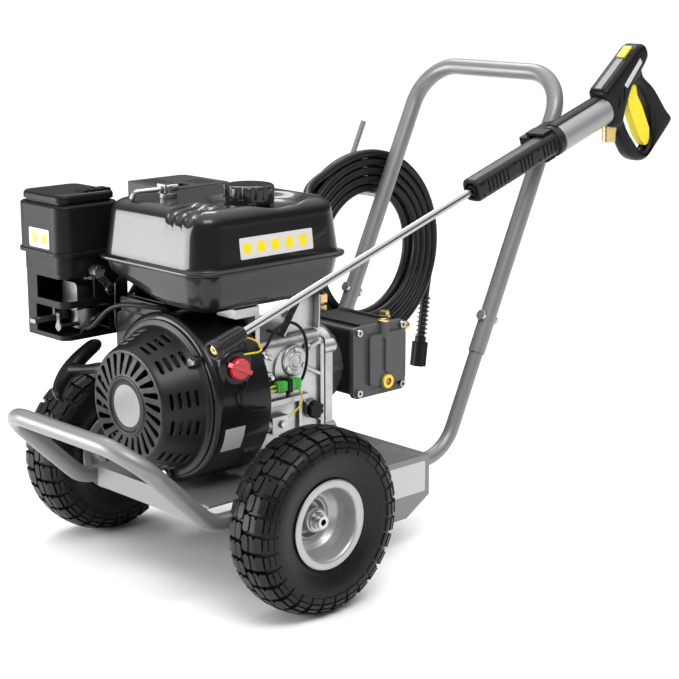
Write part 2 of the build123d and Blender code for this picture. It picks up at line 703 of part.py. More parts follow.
def make_fuel_tank():
    """The hollow fuel tank with its seam flange, cap recess and filler neck."""
    tank = tank_form(0) + Pos(0, 0, -2.5) * extrude(
        rounded_slab(TANK_LENGTH, TANK_WIDTH, 42, TANK_SEAM_Z), amount=5
    )
    floor = TANK_TOP_Z - 9
    wall = 2.5
    recess = rod((CAP_X, CAP_Y, floor), UP, CAP_R + 8, 40)
    hollow = tank_form(wall) - rod((CAP_X, CAP_Y, floor - wall), UP, CAP_R + 8 + wall, 40)
    flutes = []
    for y in (-74, -55, -36):
        spot = (-84, y, TANK_TOP_Z + 1)
        flutes.append(rod(spot, FORWARD, 8, 62))
        hollow -= rod(spot, FORWARD, 8 + wall, 62 + wall)
    tank = tank.cut(recess, *flutes) - hollow
    neck = pipe((CAP_X, CAP_Y, floor - 0.5), UP, 30, 25, 15)
    return tank + neck


def make_fuel_cap():
    """The scalloped filler cap that turns on the neck."""
    bottom = TANK_TOP_Z - 7
    cap = rod((CAP_X, CAP_Y, bottom), UP, CAP_R, 27)
    cap = fillet(cap.edges().group_by(Axis.Z)[-1], 5)
    notches = []
    for number in range(12):
        turn = radians(number * 30)
        spot = (CAP_X + (CAP_R + 3) * cos(turn), CAP_Y + (CAP_R + 3) * sin(turn), bottom + 8)
        notches.append(rod(spot, UP, 6, 30))
    return cap.cut(*notches) - rod((CAP_X, CAP_Y, bottom - 1), UP, 30 + RUNNING_GAP, 16)


def make_tank_vent():
    """The breather valve on the tank with its metal tube and hose clamp."""
    x = -12.0
    y = 50.0
    seat = rod((x, y, TANK_TOP_Z), UP, 13, 7)
    body = rod((x, y, TANK_TOP_Z + 7), UP, 6, 10)
    spindle = rod((x + 16, y, TANK_TOP_Z + 13), BACKWARD, 5, 32)
    ears = [block(x - 12, x - 9, y - 9, y + 9, TANK_TOP_Z + 9, TANK_TOP_Z + 20)]
    top = TANK_TOP_Z
    points = [(x - 14, y, top + 13), (x - 48, y + 14, top + 11), (x - 51, y + 17, top + 1)]
    tube = swept(FilletPolyline(*points, radius=6), 3.5)
    return joined(seat, [body, spindle, tube] + ears)


def filter_slab(inset, z, thickness):
    """A slab with the filter lid's rounded outline, drawn in by inset."""
    outline = RectangleRounded(
        FILTER_REAR - FILTER_FRONT - 2 * inset, FILTER_FAR - FILTER_NEAR - 2 * inset, 22 - inset
    )
    middle = Pos((FILTER_FRONT + FILTER_REAR) / 2, (FILTER_NEAR + FILTER_FAR) / 2, z)
    return extrude(middle * outline, amount=thickness)


def make_filter_cover():
    """The rounded air filter lid, with a plate on a recessed neck and four ribs on top."""
    shoulder_z = FILTER_TOP_Z - 15
    lid = block(FILTER_FRONT, FILTER_REAR, FILTER_NEAR, FILTER_FAR, FILTER_SEAM_Z, shoulder_z)
    lid = fillet(lid.edges().filter_by(Axis.Z), 22)
    lid = fillet(lid.edges().group_by(Axis.Z)[-1], 5)
    neck = filter_slab(9, shoulder_z - 1, 6)
    plate = filter_slab(5, shoulder_z + 4, FILTER_TOP_Z - shoulder_z - 4)
    plate = fillet(plate.edges().group_by(Axis.Z)[-1], 6)
    hollow = block(FILTER_FRONT + 3, FILTER_REAR - 3, FILTER_NEAR + 3, FILTER_FAR - 3, 440, shoulder_z - 3)
    hollow = fillet(hollow.edges().filter_by(Axis.Z), 19)
    flange = filter_slab(-3, FILTER_SEAM_Z, 5)
    ribs = []
    rib_near = FILTER_NEAR + 12
    for number in range(4):
        x = FILTER_REAR - 16 - 13 * number
        ribs.append(block(x - 4, x + 4, rib_near, rib_near + 22, FILTER_TOP_Z - 1, FILTER_TOP_Z + 3))
    return joined(lid, [flange, neck, plate] + ribs) - hollow


def make_filter_base():
    """The filter tray and the shroud below it, with two windows round the carburettor."""
    front = FILTER_FRONT + 4
    rear = FILTER_REAR - 4
    near = FILTER_NEAR + 4
    far = FILTER_FAR - 4
    tray = block(front, rear, near, far, 425, FILTER_SEAM_Z)
    tray = fillet(tray.edges().filter_by(Axis.Z), 20)
    hollow = block(front + 3, rear - 3, near + 3, far - 3, 428, FILTER_SEAM_Z + 1)
    tray -= fillet(hollow.edges().filter_by(Axis.Z), 17)
    shroud = block(front, rear - 4, near, far - 4, SHROUD_BOTTOM, 426)
    shroud = fillet(shroud.edges().filter_by(Axis.Z).group_by(Axis.X)[0], 16)
    hollow = block(front + 3, rear + 10, near + 3, far - 7, SHROUD_BOTTOM + 3, 425)
    shroud -= fillet(hollow.edges().filter_by(Axis.Z).group_by(Axis.X)[0], 13)
    base = tray + shroud
    base -= block(front - 6, -72, near - 6, near + 66, 386, 419)
    base -= block(front - 6, -46, near - 6, near + 70, 336, 376)
    base -= rod((-52, CARB_Y, 420), UP, 16, 20)
    pivot = rod((THROTTLE_X, near, THROTTLE_Z), NEAR, 4, 16)
    return base + pivot


def make_carburettor(head, valve_cover):
    """The carburettor body, float bowl, inlet elbow and the spindles of its two levers."""
    body = block(CARB_X - 26, CARB_X + 38, CARB_Y - 18, CARB_Y + 20, 366, 408)
    body = fillet(body.edges().filter_by(Axis.X), 8)
    bowl = rod((CARB_X, CARB_Y, 338), UP, 21, 30)
    drain = rod((CARB_X, CARB_Y, 332), UP, 6, 8)
    throat = rod((CARB_X + 12, CARB_Y, 400), UP, 14, 25)
    inlet = rod((CARB_X + 34, CARB_Y - 6, 382), (52, -36, -44), 15, 74) - head - valve_cover
    choke_pin = rod((CHOKE_SPOT[0], CARB_Y + 20, CHOKE_SPOT[2]), NEAR, 3, 14)
    choke_arm = block(CHOKE_SPOT[0] - 4, CARB_X - 14, CARB_Y + 15, CARB_Y + 20, 350, 372)
    tap_pin = rod((TAP_SPOT[0] - 2, TAP_SPOT[1], TAP_SPOT[2]), FORWARD, 3, 40)
    end = FUEL_HOSE_POINTS[-1]
    nipple = rod(end, tuple(Vector(*end) - Vector(*FUEL_HOSE_POINTS[-2])), 3, 12)
    return joined(body, [bowl, drain, throat, inlet, choke_pin, choke_arm, tap_pin, nipple])


def make_choke_lever():
    """The choke lever, pivoted across the carburettor and reaching out through the lower window."""
    x, y, z = CHOKE_SPOT
    eye = rod((x, y - 2, z), FAR, 7, 4)
    arm = block(x - 34, x - 3, y - 2, y + 2, z - 4, z + 4)
    tab = block(x - 44, x - 32, y - 7, y + 7, z - 3, z + 3)
    return joined(eye, [arm, tab]) - rod((x, y - 5, z), FAR, 3 + RUNNING_GAP, 10)


def make_fuel_tap_lever():
    """The fuel tap lever on the front of the float bowl."""
    x, y, z = TAP_SPOT
    eye = rod((x - 2, y, z), FORWARD, 6.5, 4)
    arm = block(x - 2, x + 2, y - 3.5, y + 3.5, z, z + 20)
    return joined(eye, [arm]) - rod((x - 5, y, z), FORWARD, 3 + RUNNING_GAP, 10)


def make_throttle_lever():
    """The throttle lever with its plated knob, beside the filter tray."""
    y = FILTER_NEAR - 6
    eye = rod((THROTTLE_X, y - 3, THROTTLE_Z), FAR, 9, 6)
    knob_spot = (THROTTLE_X - 27, THROTTLE_Z + 31)
    lean = hypot(27, 31)
    arm_plane = Plane(origin=(THROTTLE_X, y, THROTTLE_Z), x_dir=FAR, z_dir=(-27, 0, 31))
    arm = arm_plane * Box(5, 11, lean, align=BASE)
    knob = rod((knob_spot[0], y - 12, knob_spot[1]), FAR, 9, 16)
    return joined(eye, [arm, knob]) - rod((THROTTLE_X, y - 20, THROTTLE_Z), FAR, 4 + RUNNING_GAP, 40)


def make_fuel_hose():
    """The short fuel line from the tank to the carburettor."""
    path = FilletPolyline(*FUEL_HOSE_POINTS, radius=bend_radii(FUEL_HOSE_POINTS))
    return swept(path, 4)


def make_muffler(head):
    """The hollow muffler box above the cylinder with its exhaust elbow and guard studs."""
    box = block(66, 168, 143, 243, 442, 528, edge=14)
    box -= block(68, 166, 145, 241, 444, 526, edge=12)
    elbow = swept(FilletPolyline((112, 136, 352), (146, 136, 352), (146, 168, 443), radius=26), 14) - head
    studs = [rod((x, y, 527.5), UP, 5, 4.5) for x in (86, 148) for y in (163, 223)]
    return joined(box, [elbow] + studs)


def make_muffler_guard():
    """The pressed heat guard over the muffler, with a round hole and rows of slots."""
    guard = block(60, 174, 132, 250, 490, 534)
    guard = fillet(guard.edges().filter_by(Axis.Z), 12)
    guard -= block(62, 172, 134, 248, 489, 532)
    cuts = [rod((96, 164, 530), UP, 15, 6)]
    for number in range(5):
        y = 196 + 9 * number
        cuts.append(block(76, 112, y, y + 4, 530, 536))
        cuts.append(block(124, 160, y - 44, y - 40, 530, 536))
    return guard.cut(*cuts)


def make_tank_bracket():
    """The two steel stays that carry the tank over the crankcase."""
    pad = block(-10, 34, -92, -52, 384, TANK_FLOOR_Z)
    leg = block(26, 34, -92, -52, CASE_TOP, 385)
    web = [(82, CASE_TOP), (148, CASE_TOP), (150, 378), (150, TANK_FLOOR_Z), (118, TANK_FLOOR_Z)]
    rear = side_plate(web, -78, -74)
    rear_foot = block(86, 146, -78, -46, CASE_TOP, CASE_TOP + 3)
    rear_pad = block(118, 150, -78, -46, TANK_FLOOR_Z - 3, TANK_FLOOR_Z)
    return [joined(pad, [leg]), joined(rear, [rear_foot, rear_pad])]


def make_oil_plug():
    """The ribbed oil filler plug in the crankcase."""
    stem = rod((126, CASE_NEAR + 12, 233), NEAR, 8, 18.2)
    head = rod((126, CASE_NEAR - 6.2, 233), NEAR, 13, 9)
    notches = []
    for number in range(8):
        turn = radians(number * 45)
        spot = (126 + 14 * cos(turn), CASE_NEAR - 5, 233 + 14 * sin(turn))
        notches.append(rod(spot, NEAR, 3, 12))
    return joined(stem, [head]).cut(*notches)


def make_wiring():
    """The stop cable, the yellow wires, and the green plug in its clip."""
    leads = []
    for points, radius in ((STOP_CABLE_POINTS, 2.2), (SENSOR_WIRE_POINTS, 1.3)):
        leads.append(swept(FilletPolyline(*points, radius=bend_radii(points)), radius))
    plug = block(56, 92, -112, -102, 267, 278, edge=2)
    clip = block(70, 77, -115, -98, 263, 281) - block(69, 78, -112.2, -101.8, 266.8, 278.2)
    stay = block(71, 76, -100, CASE_NEAR, 259, 268)
    return leads + [plug, clip + stay]


# Pump

def make_pump_flange():
    """The bell housing between engine and pump."""
    plate = rod((COVER_REAR + 3, CRANK_Y, 274), FORWARD, 66, 8)
    bell = rod((COVER_REAR + 3, CRANK_Y, 274), FORWARD, 58, PUMP_FRONT - COVER_REAR - 3)
    ribs = []
    for angle in range(0, 360, 45):
        rib = Pos(57, 0, 22) * Box(8, 9, PUMP_FRONT - COVER_REAR - 3 - 2)
        ribs.append(Plane(origin=(COVER_REAR + 2, CRANK_Y, 274), z_dir=FORWARD) * Rot(0, 0, angle) * rib)
    bell = joined(plate, [bell] + ribs)
    return bell - rod((COVER_REAR, CRANK_Y, CRANK_Z), FORWARD, 44, 60)


def make_pump_housing():
    """The pump's crank housing, bored for the drive shaft."""
    housing = block(PUMP_FRONT, PUMP_REAR, PUMP_NEAR, 36, PUMP_BOTTOM, PUMP_TOP)
    housing = fillet(housing.edges().filter_by(Axis.Y), 10)
    ribs = [block(x, x + 5, PUMP_NEAR + 6, 30, PUMP_TOP - 1, PUMP_TOP + 4) for x in (236, 300)]
    housing = joined(housing, ribs)
    return housing - rod((PUMP_FRONT - 1, CRANK_Y, CRANK_Z), FORWARD, 16.5, 42)


def pump_bolt_places():
    """The four cover screws."""
    return [(x, z) for x in (PUMP_FRONT + 6, PUMP_REAR - 8) for z in (PUMP_BOTTOM + 6, PUMP_TOP - 5)]


def make_pump_cover():
    """The near cover with a raised panel, an upright rib, a filler boss and a sight glass seat."""
    plate = block(PUMP_FRONT - 3, PUMP_REAR + 2, PUMP_NEAR - 8, PUMP_NEAR, PUMP_BOTTOM - 3, PUMP_TOP + 2)
    plate = fillet(plate.edges().filter_by(Axis.Y), 9)
    panel = block(244, 319, PUMP_NEAR - 14, PUMP_NEAR - 7, 242.5, 321)
    panel = fillet(panel.edges().filter_by(Axis.Y), 7)
    rib = block(FILLER_X - 3, FILLER_X + 3, PUMP_NEAR - 18, PUMP_NEAR - 13, 263, 322)
    boss = rod((FILLER_X, PUMP_NEAR - 9, 314), UP, 9, 24)
    seat = rod((SIGHT_X, PUMP_NEAR - 13, SIGHT_Z), NEAR, 13, 3)
    cover = joined(plate, [panel, rib, boss, seat])
    cover -= rod((SIGHT_X, PUMP_NEAR - 20, SIGHT_Z), FAR, 10.5, 9)
    cover -= rod((FILLER_X, PUMP_NEAR - 9, 326), UP, 5.05, 20)
    for x, z in pump_bolt_places():
        cover -= rod((x, PUMP_NEAR - 9, z), FAR, 3.1, 10)
    return cover


def make_sight_glass():
    """The oil sight glass: a ring with a domed lens."""
    ring = rod((SIGHT_X, PUMP_NEAR - 11.2, SIGHT_Z), NEAR, 10.4, 8)
    pocket = rod((SIGHT_X, PUMP_NEAR - 17.5, SIGHT_Z), NEAR, 5.5, 3)
    return ring - pocket


def make_pump_oil_cap():
    """The oil filler plug on the pump cover."""
    y = PUMP_NEAR - 9
    stem = rod((FILLER_X, y, 328), UP, 5, 10.2)
    flange = rod((FILLER_X, y, 338.2), UP, 9, 3)
    crown = hex_bar((FILLER_X, y, 341.2), UP, 13, 4)
    return joined(stem, [flange, crown])


def make_pump_head():
    """The valve manifold on the far side with its six valve plugs."""
    head = block(224, 316, 36, 108, 238, 325)
    head = fillet(head.edges().filter_by(Axis.Y), 8)
    plugs = []
    for x in (244, 270, 296):
        for z in (260, 302):
            plugs.append(hex_bar((x, 107, z), FAR, 22, 12))
    return joined(head, plugs)


def make_pump_fittings():
    """The brass water inlet, the outlet riser, the thermal valve and a top plug."""
    inlet = joined(
        hex_bar((316, INLET_Y, INLET_Z), FORWARD, 32, 14),
        [rod((330, INLET_Y, INLET_Z), FORWARD, 13.2, INLET_END - 330)],
    )
    inlet -= rod((INLET_END, INLET_Y, INLET_Z), BACKWARD, 9, 20)
    riser = joined(
        hex_bar((OUTLET_X, OUTLET_Y, 325), UP, 22, 9),
        [
            rod((OUTLET_X, OUTLET_Y, 334), UP, 7.5, 5),
            hex_bar((OUTLET_X, OUTLET_Y, 339), UP, 24, OUTLET_Z - 339),
        ],
    )
    valve = joined(hex_bar((PUMP_REAR, -62, 314), FORWARD, 19, 10), [rod((332, -62, 314), FORWARD, 7, 14)])
    plug = joined(rod((313, -58, PUMP_TOP), UP, 8, 4), [hex_bar((313, -58, PUMP_TOP + 4), UP, 13, 6)])
    return [inlet, riser, valve, plug]


# Fasteners

def cap_screw(start, direction, radius, length):
    """A socket head screw whose head stands on a face, with its shank going the other way."""
    back = tuple(-value for value in direction)
    head = rod(start, direction, 1.75 * radius, 1.9 * radius)
    socket = hex_bar(along(start, direction, radius), direction, 1.7 * radius, radius)
    return joined(head, [rod(start, back, radius, length)]) - socket


def make_fasteners():
    """Handle bolts with their nuts, engine foot bolts, pump cover screws and starter screws."""
    solids = []
    for side in (-1, 1):
        middle, direction = handle_bolt_line(side)
        back = tuple(-value for value in direction)
        shank = rod(along(middle, direction, -16), direction, 4, 34)
        head = rod(along(middle, direction, -HANDLE_R), back, 8, 5)
        nut = hex_bar(along(middle, direction, HANDLE_R), direction, 13, 6)
        solids.append(joined(shank, [head, nut]))
    for x, y in engine_bolt_places():
        shank = rod((x, y, PLATE_TOP + 0.2), UP, 4, 13)
        solids.append(joined(shank, [hex_bar((x, y, PLATE_TOP + 13), UP, 13, 6)]))
    for x, z in pump_bolt_places():
        solids.append(cap_screw((x, PUMP_NEAR - 8, z), NEAR, 3, 7.5))
    for y, z in recoil_bolt_places():
        solids.append(hex_bar((FAN_FRONT - 12, y, z), BACKWARD, 10, 5))
    return solids


# Lance and gun

def make_nozzle_guard():
    """The fluted protector round the nozzle."""
    guard = rod(lance_point(0), LANCE_DIR, 13.5, 56)
    guard = chamfer(guard.edges().group_by(Axis.X)[-1], 2)
    plane = Plane(origin=lance_point(0), z_dir=LANCE_DIR)
    flutes = [plane * Rot(0, 0, 30 * number) * Pos(14.5, 0, 33) * Box(3.4, 3, 36) for number in range(12)]
    guard = guard.cut(*flutes)
    guard -= rod(lance_point(-1), LANCE_DIR, 8, 25)
    return guard - rod(lance_point(0), LANCE_DIR, LANCE_TUBE_R, 60)


def make_nozzle():
    """The brass spray nozzle with its orifice."""
    nozzle = rod(lance_point(5), LANCE_DIR, 7.9, 19)
    return nozzle - rod(lance_point(4), LANCE_DIR, 2, 12)


def make_lance_tube():
    """The stainless steel lance tube."""
    return pipe(lance_point(24), LANCE_DIR, LANCE_TUBE_R, LANCE_TUBE_R - 1.5, 696)


def make_lance_grip():
    """The insulated grip with its slots and the collar in front of the flow sleeve."""
    grip = rod(lance_point(GRIP_FRONT), LANCE_DIR, GRIP_R, GRIP_REAR - GRIP_FRONT)
    grip = fillet(grip.edges(), 3)
    slots = []
    starts = [GRIP_FRONT + 22 + 9 * number for number in range(6)]
    starts += [GRIP_FRONT + 104 + 9 * number for number in range(7)]
    for s in starts:
        slots.append(lance_slab(s, s + 3.5, -11, 11, LANCE_Y - GRIP_R - 1, LANCE_Y - GRIP_R + 4))
        slots.append(lance_slab(s, s + 3.5, -11, 11, LANCE_Y + GRIP_R - 4, LANCE_Y + GRIP_R + 1))
    grip = grip.cut(*slots)
    collar = rod(lance_point(GRIP_REAR - 1), LANCE_DIR, 24, 12)
    return grip + collar - rod(lance_point(GRIP_FRONT - 1), LANCE_DIR, LANCE_TUBE_R, 220)


def make_flow_sleeve():
    """The turning sleeve that sets the flow."""
    sleeve = rod(lance_point(SLEEVE_FRONT), LANCE_DIR, SLEEVE_R, SLEEVE_REAR - SLEEVE_FRONT)
    sleeve = fillet(sleeve.edges(), 2)
    return sleeve - rod(lance_point(SLEEVE_FRONT - 1), LANCE_DIR, CORE_R + RUNNING_GAP, 140)


def spine_slab(spot, length, width, low, high):
    """A box lined up with the sloping back of the gun, between two heights over it."""
    plane = Plane(origin=spot, x_dir=GUN_SPINE_DIR, z_dir=GUN_SPINE_UP)
    return plane * Pos(0, 0, (low + high) / 2) * Box(length, width, high - low)


def make_gun_body():
    """The gun's two joined half shells: a sloping body, a D-shaped hand loop and the valve core."""
    loop = side_plate(GUN_OUTLINE, LANCE_Y - LOOP_HALF, LANCE_Y + LOOP_HALF)
    loop = fillet(loop.edges().filter_by(Axis.Y), 5)
    loop = chamfer(loop.edges().group_by(Axis.Y)[0], 4)
    loop = chamfer(loop.edges().group_by(Axis.Y)[-1], 4)
    head = side_plate(GUN_HEAD, LANCE_Y - GUN_HALF, LANCE_Y + GUN_HALF)
    head = fillet(head.edges().filter_by(Axis.Y), 5)
    head = chamfer(head.edges().group_by(Axis.Y)[0], 5)
    head = chamfer(head.edges().group_by(Axis.Y)[-1], 5)
    opening = side_plate(GUN_OPENING, LANCE_Y - 40, LANCE_Y + 40)
    opening = fillet(opening.edges().filter_by(Axis.Y), 6)
    shell = joined(loop, [head]) - opening
    shell -= rod(lance_point(SLEEVE_FRONT - 2), LANCE_DIR, SLEEVE_R + 0.6, SLEEVE_REAR - SLEEVE_FRONT + 2.6)
    core = rod(lance_point(720), LANCE_DIR, CORE_R, 130)
    spine = lance_slab(796, 846, SLEEVE_R + 1.5, SLEEVE_R + 7, LANCE_Y - 9, LANCE_Y + 9)
    shell = joined(shell, [core, spine])
    shell -= side_plate(TRIGGER_SLOT, LANCE_Y - 7.6, LANCE_Y + 7.6)
    shell -= rod((GUN_INLET_X, LANCE_Y, GUN_INLET_TOP), DOWN, GUN_COLLAR_R, 40)
    shell -= spine_slab(BUTTON_SPOT, 24.6, 14.6, -9, 20)
    pin = rod((TRIGGER_PIVOT[0], LANCE_Y - 9, TRIGGER_PIVOT[2]), FAR, 3, 18)
    return shell + pin


def make_trigger():
    """The curved trigger, hung from a pin in the gun body."""
    lever = side_plate(TRIGGER_OUTLINE, LANCE_Y - 7, LANCE_Y + 7)
    lever = fillet(lever.edges().filter_by(Axis.Y), 3)
    x, y, z = TRIGGER_PIVOT
    return lever - rod((x, y - 10, z), FAR, 3 + RUNNING_GAP, 20)


def make_safety_button():
    """The safety catch in the back of the gun."""
    return spine_slab(BUTTON_SPOT, 24, 14, -5, 3.5)


def make_gun_inlet():
    """The threaded brass hose inlet under the gun."""
    x = GUN_INLET_X
    collar = rod((x, LANCE_Y, GUN_INLET_TOP), DOWN, GUN_COLLAR_R, 10)
    thread = rod((x, LANCE_Y, GUN_INLET_END), UP, 11, GUN_INLET_TOP - 9 - GUN_INLET_END)
    return joined(collar, [thread]) - rod((x, LANCE_Y, GUN_INLET_END - 1), UP, 6, 18)


# High-pressure hose

def bend_radii(points):
    """The largest even arc at each corner of a route: 0.45 of the shorter run over the half turn."""
    radii = []
    for before, here, after in zip(points, points[1:], points[2:]):
        first = Vector(*here) - Vector(*before)
        second = Vector(*after) - Vector(*here)
        half_turn = radians(first.get_angle(second)) / 2
        radii.append(0.45 * min(first.length, second.length) / tan(half_turn))
    return radii


def coil_state(turn):
    """Place and heading on the coil after some degrees of winding, clockwise seen from the near side."""
    total = COIL_START + 360 * COIL_TURNS
    half = total / 2
    soft = 15.0
    from_middle = turn - half
    climb_width = 90.0
    pitch_rate = COIL_PITCH / 360
    reach = sqrt(half**2 + soft**2)
    radius = COIL_OUTER_R - pitch_rate * (reach - sqrt(from_middle**2 + soft**2))
    radius_rate = pitch_rate * from_middle / sqrt(from_middle**2 + soft**2)
    share = min(max((from_middle + climb_width) / (2 * climb_width), 0), 1)
    y = COIL_Y + COIL_PITCH * (3 * share**2 - 2 * share**3)
    y_rate = COIL_PITCH * (6 * share - 6 * share**2) / (2 * climb_width)
    angle = radians(COIL_START - turn)
    place = Vector(COIL_X + radius * cos(angle), y, COIL_Z + radius * sin(angle))
    spin = radians(1) * radius
    heading = Vector(
        radius_rate * cos(angle) + spin * sin(angle),
        y_rate,
        radius_rate * sin(angle) - spin * cos(angle),
    )
    return place, heading.normalized()


def arc_from(start, corner, end):
    """The arc that touches both equal runs of a corner at their ends."""
    to_corner = corner - start
    middle = (start + end) * 0.5
    half_turn = radians(to_corner.get_angle(end - corner)) / 2
    radius = to_corner.length / tan(half_turn)
    inward = (middle - corner).normalized()
    return ThreePointArc(start, corner + inward * (radius / cos(half_turn) - radius), end)


def biarc(start, start_heading, end, end_heading):
    """Two arcs that leave one point and reach another on given headings."""
    gap = end - start
    both = start_heading + end_heading
    spread = 2 * (1 - start_heading.dot(end_heading))
    along_both = gap.dot(both)
    reach = (sqrt(along_both**2 + spread * gap.dot(gap)) - along_both) / spread
    first_corner = start + start_heading * reach
    second_corner = end - end_heading * reach
    middle = (first_corner + second_corner) * 0.5
    return [arc_from(start, first_corner, middle), arc_from(middle, second_corner, end)]


def make_hose_coil():
    """The hanging coil: one tube that spirals in, climbs a layer and spirals out again."""
    total = COIL_START + 360 * COIL_TURNS
    quarters = round(total / 90)
    arcs = []
    states = [coil_state(total * number / quarters) for number in range(quarters + 1)]
    for (start, heading), (end, end_heading) in zip(states, states[1:]):
        arcs += biarc(start, heading, end, end_heading)
    lead_in = Line(states[0][0] - states[0][1] * (2 * HOSE_R), states[0][0])
    lead_out = Line(states[-1][0], states[-1][0] + states[-1][1] * (2 * HOSE_R))
    path = Wire([lead_in] + arcs + [lead_out])
    coil = swept(path, HOSE_R)
    ratio = coil.volume / (pi * HOSE_R**2 * path.length)
    print("hose coil length", round(path.length), "volume ratio", round(ratio, 4))
    print("hose coil least gap to itself", round(least_coil_gap(), 2))
    return coil


def least_coil_gap():
    """The least clear distance between neighbouring loops, measured on points along the coil."""
    total = COIL_START + 360 * COIL_TURNS
    step = 6
    count = int(total / step)
    places = [coil_state(step * number)[0] for number in range(count + 1)]
    apart = int(180 / step)
    least = 1e9
    for number, place in enumerate(places):
        for other in places[number + apart:]:
            least = min(least, (place - other).length)
    return least - 2 * HOSE_R


def coil_end(at_start):
    """Place and heading of a coil end, beyond its short straight run."""
    if at_start:
        place, heading = coil_state(0)
        return place - heading * (2 * HOSE_R), heading
    place, heading = coil_state(COIL_START + 360 * COIL_TURNS)
    return place + heading * (2 * HOSE_R), heading


def pump_tail_points():
    """The hose from the pump's outlet riser up to the start of the coil."""
    end, heading = coil_end(True)
    before = end - heading * 58
    return [
        (OUTLET_X, OUTLET_Y, OUTLET_Z),
        (OUTLET_X, OUTLET_Y, 404),
        (311, 98, 454),
        (333, 137, 487),
        tuple(before),
        tuple(end),
    ]


def free_tail_points():
    """The hanging free end of the hose, from the coil down into its coupling."""
    start, heading = coil_end(False)
    return [tuple(start), tuple(start + heading * 36), FREE_END_TOP, FREE_END_FOOT]


def make_hose_tail(points, name):
    """A stretch of hose along a route, with its bend radii and volume reported."""
    radii = bend_radii(points)
    path = FilletPolyline(*points, radius=radii)
    tail = swept(path, HOSE_R)
    ratio = tail.volume / (pi * HOSE_R**2 * path.length)
    print(name, "length", round(path.length), "radii", [round(r) for r in radii])
    print(name, "volume ratio", round(ratio, 4))
    return tail


def make_bend_spring():
    """The wire spring round the hose above its coupling."""
    base = Vector(*FREE_END_FOOT) - FREE_DIR * (SPRING_LENGTH + 6)
    plane = Plane(origin=base, z_dir=FREE_DIR)
    steps = SPRING_CURLS * 4
    rise = SPRING_LENGTH / steps
    arcs = []
    slope = rise / (pi / 2)
    states = []
    for number in range(steps + 1):
        angle = number * pi / 2
        place = plane.from_local_coords(Vector(SPRING_R * cos(angle), SPRING_R * sin(angle), rise * number))
        ahead_x = SPRING_R * (cos(angle) - sin(angle))
        ahead_y = SPRING_R * (sin(angle) + cos(angle))
        ahead = plane.from_local_coords(Vector(ahead_x, ahead_y, rise * number + slope))
        states.append((place, (ahead - place).normalized()))
    for (start, heading), (end, end_heading) in zip(states, states[1:]):
        arcs += biarc(start, heading, end, end_heading)
    lead_in = Line(states[0][0] - states[0][1] * (2 * SPRING_WIRE_R), states[0][0])
    lead_out = Line(states[-1][0], states[-1][0] + states[-1][1] * (2 * SPRING_WIRE_R))
    spring = swept(Wire([lead_in] + arcs + [lead_out]), SPRING_WIRE_R)
    print("bend spring least gap to itself", round(SPRING_LENGTH / SPRING_CURLS - 2 * SPRING_WIRE_R, 2))
    return spring


def make_hose_coupling():
    """The hose end: a crimped ferrule and a large hand nut with its threaded bore."""
    foot = Vector(*FREE_END_FOOT)
    ferrule = rod(tuple(foot), tuple(FREE_DIR), 10, 12)
    nut = rod(tuple(foot + FREE_DIR * 10), tuple(FREE_DIR), 14.5, 42)
    plane = Plane(origin=tuple(foot + FREE_DIR * 10), z_dir=tuple(FREE_DIR))
    flutes = [plane * Rot(0, 0, 45 * number) * Pos(16, 0, 25) * Box(6, 5, 60) for number in range(8)]
    nut = nut.cut(*flutes)
    return joined(ferrule, [nut]) - rod(tuple(foot + FREE_DIR * 36), tuple(FREE_DIR), 11, 30)


# Assembly

def solids_of(shape):
    """The separate solids of a piece, whether it came as one form or a list."""
    if isinstance(shape, list):
        found = []
        for item in shape:
            found += solids_of(item)
        return found
    return list(shape.solids())


